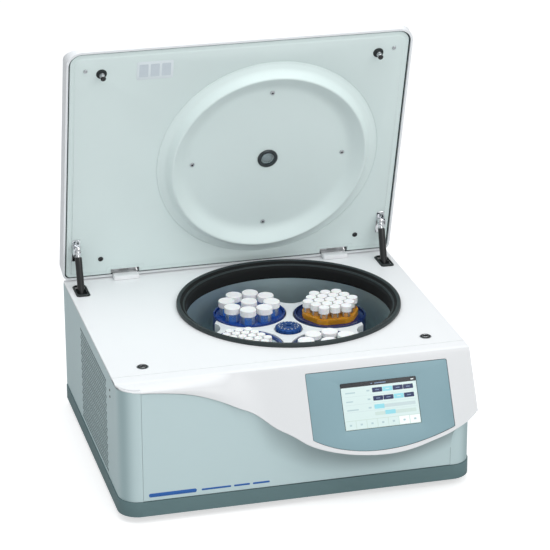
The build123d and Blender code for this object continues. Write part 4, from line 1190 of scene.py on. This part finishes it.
def add_caps(name, bucket, places, build):
    return make(name, in_bucket(bucket, places, build), "cap", "bucket_%d" % bucket, sharp=28)


def add_tubes(name, bucket, places, build):
    return make(name, in_bucket(bucket, places, build), "clear", "bucket_%d" % bucket)


def build_caps():
    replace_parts(add_caps("screw_caps_large", 1, RING_9, cap(17.2, 241.5, 254.5, 34, 14.9)),
                "caps_1")
    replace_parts(add_caps("screw_caps_small", 2, HEX_19, cap(11.2, 247.5, 260.5, 26, 8.6)),
                "caps_2")
    caps = add_caps("vial_caps", 3, HEX_24, cap(8.8, 232.0, 244.0, 20, 2.0))
    vial = [(0, TUBE_Z), (3.6, TUBE_Z), (6.2, 158.4), (7.2, 161.5), (7.2, 229), (7.6, 229.6),
            (7.6, 230.6), (7.2, 231.2), (7.2, 232.2), (0, 232.2)]
    add_tubes("vial_bodies", 3, HEX_24, turned(vial, 28))
    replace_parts(caps, "vials_3")
    caps = add_caps("wide_caps", 4, RING_9, cap(17.2, 230.0, 239.0, 34, 4.0))
    bottle = [(0, TUBE_Z), (9.5, TUBE_Z), (13, 158.6), (14.5, 163), (14.5, 227),
              (15.2, 227.8), (15.2, 229.2), (14.5, 230.2), (0, 230.2)]
    add_tubes("bottle_bodies", 4, RING_9, turned(bottle, 36))
    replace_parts(caps, "vials_4")


def tube_profile(radius, top, wall, cone):
    low = TUBE_Z
    return [(0, low), (radius * 0.22, low + 0.2), (radius * 0.35, low + 1.0),
            (radius * 0.98, low + cone), (radius, low + cone + 1.5), (radius, top - 9.8),
            (radius + 0.25, top - 9.3), (radius + 0.25, top - 8.6), (radius, top - 8.2),
            (radius, top), (radius - wall, top), (radius - wall, low + cone + 2),
            (radius * 0.3, low + 2.2), (0, low + 2.0)]


def build_tubes():
    large = tube_profile(radius=14.5, top=251, wall=1.2, cone=10)
    small = tube_profile(radius=8.3, top=257, wall=1.0, cone=14)
    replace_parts(add_tubes("conical_tubes_large", 1, RING_9, turned(large, 48)), "tubes_1")
    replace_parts(add_tubes("conical_tubes_small", 2, HEX_19, turned(small, 36)), "tubes_2")


def build_contents():
    """Liquid in the conical tubes, each filled to its own level."""
    random.seed(11)

    def large(x, y):
        top = 236 + random.uniform(-3, 3)
        return lathe([(0, 159.5), (4.0, 159.6), (13.0, 169), (13.1, top), (12.2, top - 0.4),
                      (0, top - 0.5)], x, y, 36)

    def small(x, y):
        top = 241 + random.uniform(-3, 2.5)
        return lathe([(0, 159.5), (2.6, 159.6), (7.0, 173), (7.15, top), (6.6, top - 0.3),
                      (0, top - 0.4)], x, y, 28)

    make("tube_contents_large", in_bucket(1, RING_9, large), "sample_blue", "bucket_1", 35)
    make("tube_contents_small", in_bucket(2, HEX_19, small), "amber", "bucket_2", 35)


def build_graduations():
    """Short and long printed arcs on two sides of each large tube."""
    def marks(x, y):
        arcs = []
        for k, z in enumerate((227.5, 231.0, 234.5, 238.0)):
            span = 0.9 if k % 2 else 0.55
            for start in (radians(250), radians(70)):
                arcs.append(lathe([(14.52, z), (14.66, z), (14.66, z + 0.55),
                                   (14.52, z + 0.55)], x, y, 8, start=start, end=start + span))
        return join(arcs)

    make("tube_graduations", in_bucket(1, RING_9, marks), "print_grey", "bucket_1", 35)


# ---------------------------------------------------------------- rotor nut
NUT = [  # radius, z, share of the ten grip flutes
    (8.35, 222.85, 0), (24.2, 222.85, 0), (27.2, 224.0, 1), (28.0, 225.2, 1), (28.0, 230.4, 1),
    (27.4, 231.8, 1), (25.6, 233.2, 0.6), (23.0, 234.0, 0), (20.0, 234.35, 0), (17.2, 234.4, 0),
    (16.6, 234.1, 0), (16.2, 233.6, 0), (12.0, 233.5, 0), (11.6, 233.9, 0), (11.0, 234.3, 0),
    (5.6, 234.4, 0), (5.2, 234.0, 0), (5.0, 232.4, 0), (0.6, 232.2, 0)]


def build_rotor_nut():
    sides, flutes, flute_depth = 120, 10, 1.7
    rings = []
    for radius, z, share in NUT:
        ring = []
        for i in range(sides):
            angle = tau * i / sides
            r_here = radius - max(0.0, cos(angle * flutes)) ** 3 * flute_depth * share
            ring.append((CX + r_here * cos(angle + ROTOR_TURN),
                         CY + r_here * sin(angle + ROTOR_TURN), z))
        rings.append(ring)
    make("rotor_nut_knob", loft_rings(rings, first_cap=False), "rotor_blue", "rotor_nut", 32,
         replaces="rotor_nut")


def build_nut_marks():
    """Two rings of white dots: count, circle radius, offset in steps, sides, dot profile."""
    rings = [(16, 20.3, 0.0, 14, [(0, 234.15), (1.25, 234.15), (1.25, 234.38), (0.9, 234.6),
                                  (0, 234.62)]),
             (8, 14.1, 0.5, 12, [(0, 233.4), (0.9, 233.4), (0.9, 233.75), (0.5, 233.9),
                                 (0, 233.92)])]
    dots = []
    for count, radius, offset, sides, profile in rings:
        for i in range(count):
            angle = ROTOR_TURN + tau * (i + offset) / count
            dots.append(lathe(profile, CX + radius * cos(angle), CY + radius * sin(angle),
                              sides))
    make("rotor_nut_marks", join(dots), "cap", "rotor_nut", 35)


# ---------------------------------------------------------------- hinges and front marking
def build_hinge_parts():
    washer = lathe([(3.3, -0.32), (8.7, -0.32), (8.7, 0.32), (3.3, 0.32)], sides=40)
    make("hinge_washers", join([along_x(washer, x + offset, HINGE_Y, HINGE_Z)
                                for x in HINGES_X for offset in (-10.15, 10.15)]),
         "black", sharp=35)
    pin_end = lathe([(0, 0), (4.6, 0), (4.6, 0.8), (3.9, 1.5), (0, 1.6)], sides=32)
    make("hinge_pin_ends", join([along_x(pin_end, x + side * 27.6, HINGE_Y, HINGE_Z, side)
                                 for x in HINGES_X for side in (-1, 1)]), "steel", sharp=35)


def build_front_marks():
    """A blue bar and three thinner lines low on the front cover."""
    marks = [("accent_bar", (-304, -209, 53.5, 61.5))]
    for i, (x0, x1) in enumerate(((-199, -140), (-134, -102), (-96, -62))):
        marks.append(("accent_line_%d" % i, (x0, x1, 55.6, 59.4)))
    for name, box in marks:
        radius = (box[3] - box[2]) * 0.45
        make(name, slab(rounded(box, radius, 4), [(0, 0.02), (0, 0.22), (-0.12, 0.30)],
                        lambda x, z, height: (x, FRONT_Y - height, z)), "accent")


# ---------------------------------------------------------------- struts
BALL = lid_point(0, 230.9, 284.4)
STRUT_FOOT = (160.0, 74.0)  # y, z
LEAN = atan2(BALL[1] - STRUT_FOOT[0], BALL[2] - STRUT_FOOT[1])
SOCKET = [  # radius, z along the strut from the ball centre
    (5.35, 6.2), (6.6, 6.4), (7.2, 5.4), (7.3, -5.0), (6.9, -7.2), (5.6, -9.4), (4.9, -10.4),
    (4.9, -12.2), (5.5, -12.8), (5.5, -15.0), (4.9, -15.6), (4.6, -24.0), (5.6, -24.6),
    (5.6, -27.6), (4.4, -28.2), (0, -28.2), (0, -8.2), (3.4, -7.2), (5.0, -4.6), (5.35, -1.0)]
GAS_TUBE = [  # radius, z along the strut
    (0, -14.3), (5.4, -14.3), (6.9, -15.2), (7.5, -17.0), (7.5, -155.0), (7.2, -157.0),
    (6.6, -158.2), (6.6, -159.4), (7.0, -160.0), (7.0, -161.2), (6.2, -161.8), (4.35, -161.8),
    (4.35, -30.6), (0, -30.6)]
CLIP = [(7.15, -3.2), (7.7, -3.2), (7.9, -2.7), (7.7, -2.2), (7.15, -2.2)]


def build_strut(side, label):
    """Plated ball socket, black tube, clip wire and the plate behind the ball."""
    body = "strut_%s_cylinder" % label
    c, s = cos(-LEAN), sin(-LEAN)

    def place(x, y, z):
        """Strut coordinates: ball at the origin, body down -Z."""
        return side * STRUT_X + x, BALL[1] + c * y - s * z, BALL[2] + s * y + c * z

    def piece(name, profile, material, sides=40):
        return make(name + label, lathe(profile, sides=sides), material, body, 32,
                    place=place)

    piece("ball_socket_", SOCKET, "chrome")
    tube = piece("gas_tube_", GAS_TUBE, "black_enamel", sides=48)
    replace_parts(tube, body)
    piece("socket_clip_", CLIP, "steel")
    x = side * STRUT_X
    x0, x1 = sorted((x - side * 7.0, x + side * 9.8))
    make("ball_plate_" + label, slab(rounded((x0, x1, 212.5, 266.9), 3.0, 5),
                                     [(0, 296.35), (0, 294.9), (-0.4, 294.5)], lid_point),
         "chrome", "lid")
    screws = [lathe([(0, 294.6), (2.7, 294.6), (2.7, 293.6), (2.1, 293.0), (0.9, 292.8),
                     (0.9, 293.3), (0, 293.3)], x + side * 1.2, y, 24) for y in (217.5, 257.0)]
    make("ball_plate_screws_" + label, join(screws), "steel", "lid", place=lid_point)


# ---------------------------------------------------------------- strikers and viewing port
def build_strikers():
    """Black tips and steel sleeves on both striker pins."""
    tip = [(0, 276.3), (3.9, 276.3), (4.9, 276.9), (5.55, 277.8), (5.55, 278.75),
           (3.75, 279.3), (3.75, 281.5), (0, 281.5)]
    sleeve = [(4.85, 282.7), (5.15, 283.0), (5.15, 287.2), (4.85, 287.6), (4.85, 288.6),
              (5.4, 289.2), (5.4, 293.4), (4.85, 293.6)]
    for name, profile, material, closed in (("striker_tips", tip, "black_enamel", True),
                                            ("striker_sleeves", sleeve, "steel", False)):
        pair = [lathe(profile, side * LATCH_X, LATCH_Y, 32, closed) for side in (-1, 1)]
        make(name, join(pair), material, "lid", 32, place=lid_point)


def build_port():
    """Bright sleeve and outer pane of the viewing port."""
    bore = 13.2
    make("port_sleeve", lathe([(13.75, 304.3), (13.75, 346.8), (bore, 347.3), (bore, 304.3)],
                              CX, CY, 48), "alu", "lid", 40, place=lid_point)
    make("port_outer_pane", lathe([(0, 346.2), (bore, 346.2), (bore, 347.0), (0, 347.0)],
                                  CX, CY, 48), "port", "lid", 40, place=lid_point)


# ---------------------------------------------------------------- stage, in metres
def build_floor():
    material, tree = new_material("studio_floor")
    cloud = noise(tree, object_coords(tree), scale=3.0, detail=5.0)
    paint = node(tree, "MixRGB", {"Fac": cloud, "Color1": (0.62, 0.625, 0.63, 1),
                                  "Color2": (0.65, 0.65, 0.65, 1)})
    # glows to the camera only, so it lights nothing
    to_camera = node(tree, "LightPath").outputs["Is Camera Ray"]
    bsdf = node(tree, "BsdfPrincipled", {
        "Base Color": paint.outputs[0], "Emission Color": (1, 1, 1, 1),
        "Emission Strength": maths(tree, "MULTIPLY", to_camera, 0.62),
        "Roughness": 0.8, "Specular IOR Level": 0.1})
    node(tree, "OutputMaterial", {0: bsdf.outputs[0]})
    reach, z = 30.0, -0.0006
    mesh = bpy.data.meshes.new("floor")
    mesh.from_pydata([(-reach, -reach, z), (reach, -reach, z), (reach, reach, z),
                      (-reach, reach, z)], [], [(0, 1, 2, 3)])
    floor = bpy.data.objects.new("floor", mesh)
    scene.collection.objects.link(floor)
    mesh.materials.append(material)


def build_world():
    """White to the camera; a soft light that strengthens upwards for everything else."""
    world = bpy.data.worlds.new("studio")
    scene.world = world
    world.use_nodes = True
    tree = world.node_tree
    tree.nodes.clear()
    seen = node(tree, "Background", {"Color": (1, 1, 1, 1), "Strength": 1.0})
    lit = node(tree, "Background", {"Color": (0.96, 0.985, 1.0, 1), "Strength": 0.80})
    direction = node(tree, "TexCoord").outputs["Generated"]
    height = node(tree, "SeparateXYZ", {0: direction}).outputs["Z"]
    strength = node(tree, "MapRange", {"Value": height, "From Min": -0.25, "From Max": 0.9,
                                       "To Min": 0.36, "To Max": 0.68})
    tree.links.new(strength.outputs[0], lit.inputs["Strength"])
    to_camera = node(tree, "LightPath").outputs["Is Camera Ray"]
    mix = node(tree, "MixShader", {0: to_camera, 1: lit.outputs[0], 2: seen.outputs[0]})
    node(tree, "OutputWorld", {0: mix.outputs[0]})


def area(name, location, target, size, energy, color):
    data = bpy.data.lights.new(name, "AREA")
    data.shape = "RECTANGLE"
    data.size, data.size_y = size
    data.energy = energy
    data.color = color
    light = bpy.data.objects.new(name, data)
    scene.collection.objects.link(light)
    light.location = location
    aim = Vector(target) - Vector(location)
    light.rotation_euler = aim.to_track_quat("-Z", "Y").to_euler()


def build_lights():
    area("key", location=(1.9, -2.6, 3.0), target=(0.0, 0.0, 0.3), size=(2.2, 1.6),
         energy=33.0, color=(1.0, 0.99, 0.975))
    area("front", location=(0.4, -5.2, 1.0), target=(0.0, 0.0, 0.4), size=(3.4, 1.8),
         energy=37.0, color=(0.985, 1.0, 1.0))
    area("top", location=(-0.3, -0.4, 3.2), target=(0.0, 0.0, 0.3), size=(2.6, 2.6),
         energy=36.5, color=(0.975, 0.99, 1.0))


def build_camera():
    data = bpy.data.cameras.new("camera")
    camera = bpy.data.objects.new("camera", data)
    scene.collection.objects.link(camera)
    scene.camera = camera
    data.sensor_width = 36.0
    data.lens = 157.025455
    data.clip_start, data.clip_end = 0.05, 100.0
    data.shift_x, data.shift_y = 0.00303636, 0.00165455
    yaw, pitch, roll = radians(14.74), radians(21.59), radians(-0.17)
    camera.location = (-1.1300, -4.3900, 2.1644)
    forward = Vector((sin(yaw) * cos(pitch), cos(yaw) * cos(pitch), -sin(pitch)))
    camera.rotation_mode = "QUATERNION"
    camera.rotation_quaternion = (forward.to_track_quat("-Z", "Y")
                                  @ Matrix.Rotation(roll, 3, "Z").to_quaternion())
    scene.view_settings.view_transform = "Standard"
    scene.view_settings.look = "None"


# ---------------------------------------------------------------- build
finish_cad_nodes()
build_fascia()
build_bezel()
build_display()
build_front_cover()
# painted shade: the side sheets take the grey with the dark band at the front corner
sheet_paint = corner_shaded(MT["grey"], "powder_grey_corner_shade")
build_side(-1, "left", sheet_paint)
build_side(1, "right", sheet_paint)
build_side_plugs()
build_gasket()
build_bowl()
build_lid_liner()
build_lid_gap_shadow()
build_lid_label()
build_lid_screws()
build_latch_seats()
build_caps()
build_tubes()
build_contents()
build_graduations()
build_rotor_nut()
build_nut_marks()
build_hinge_parts()
build_front_marks()
build_strut(-1, "left")
build_strut(1, "right")
build_strikers()
build_port()
build_floor()
build_world()
build_lights()
build_camera()
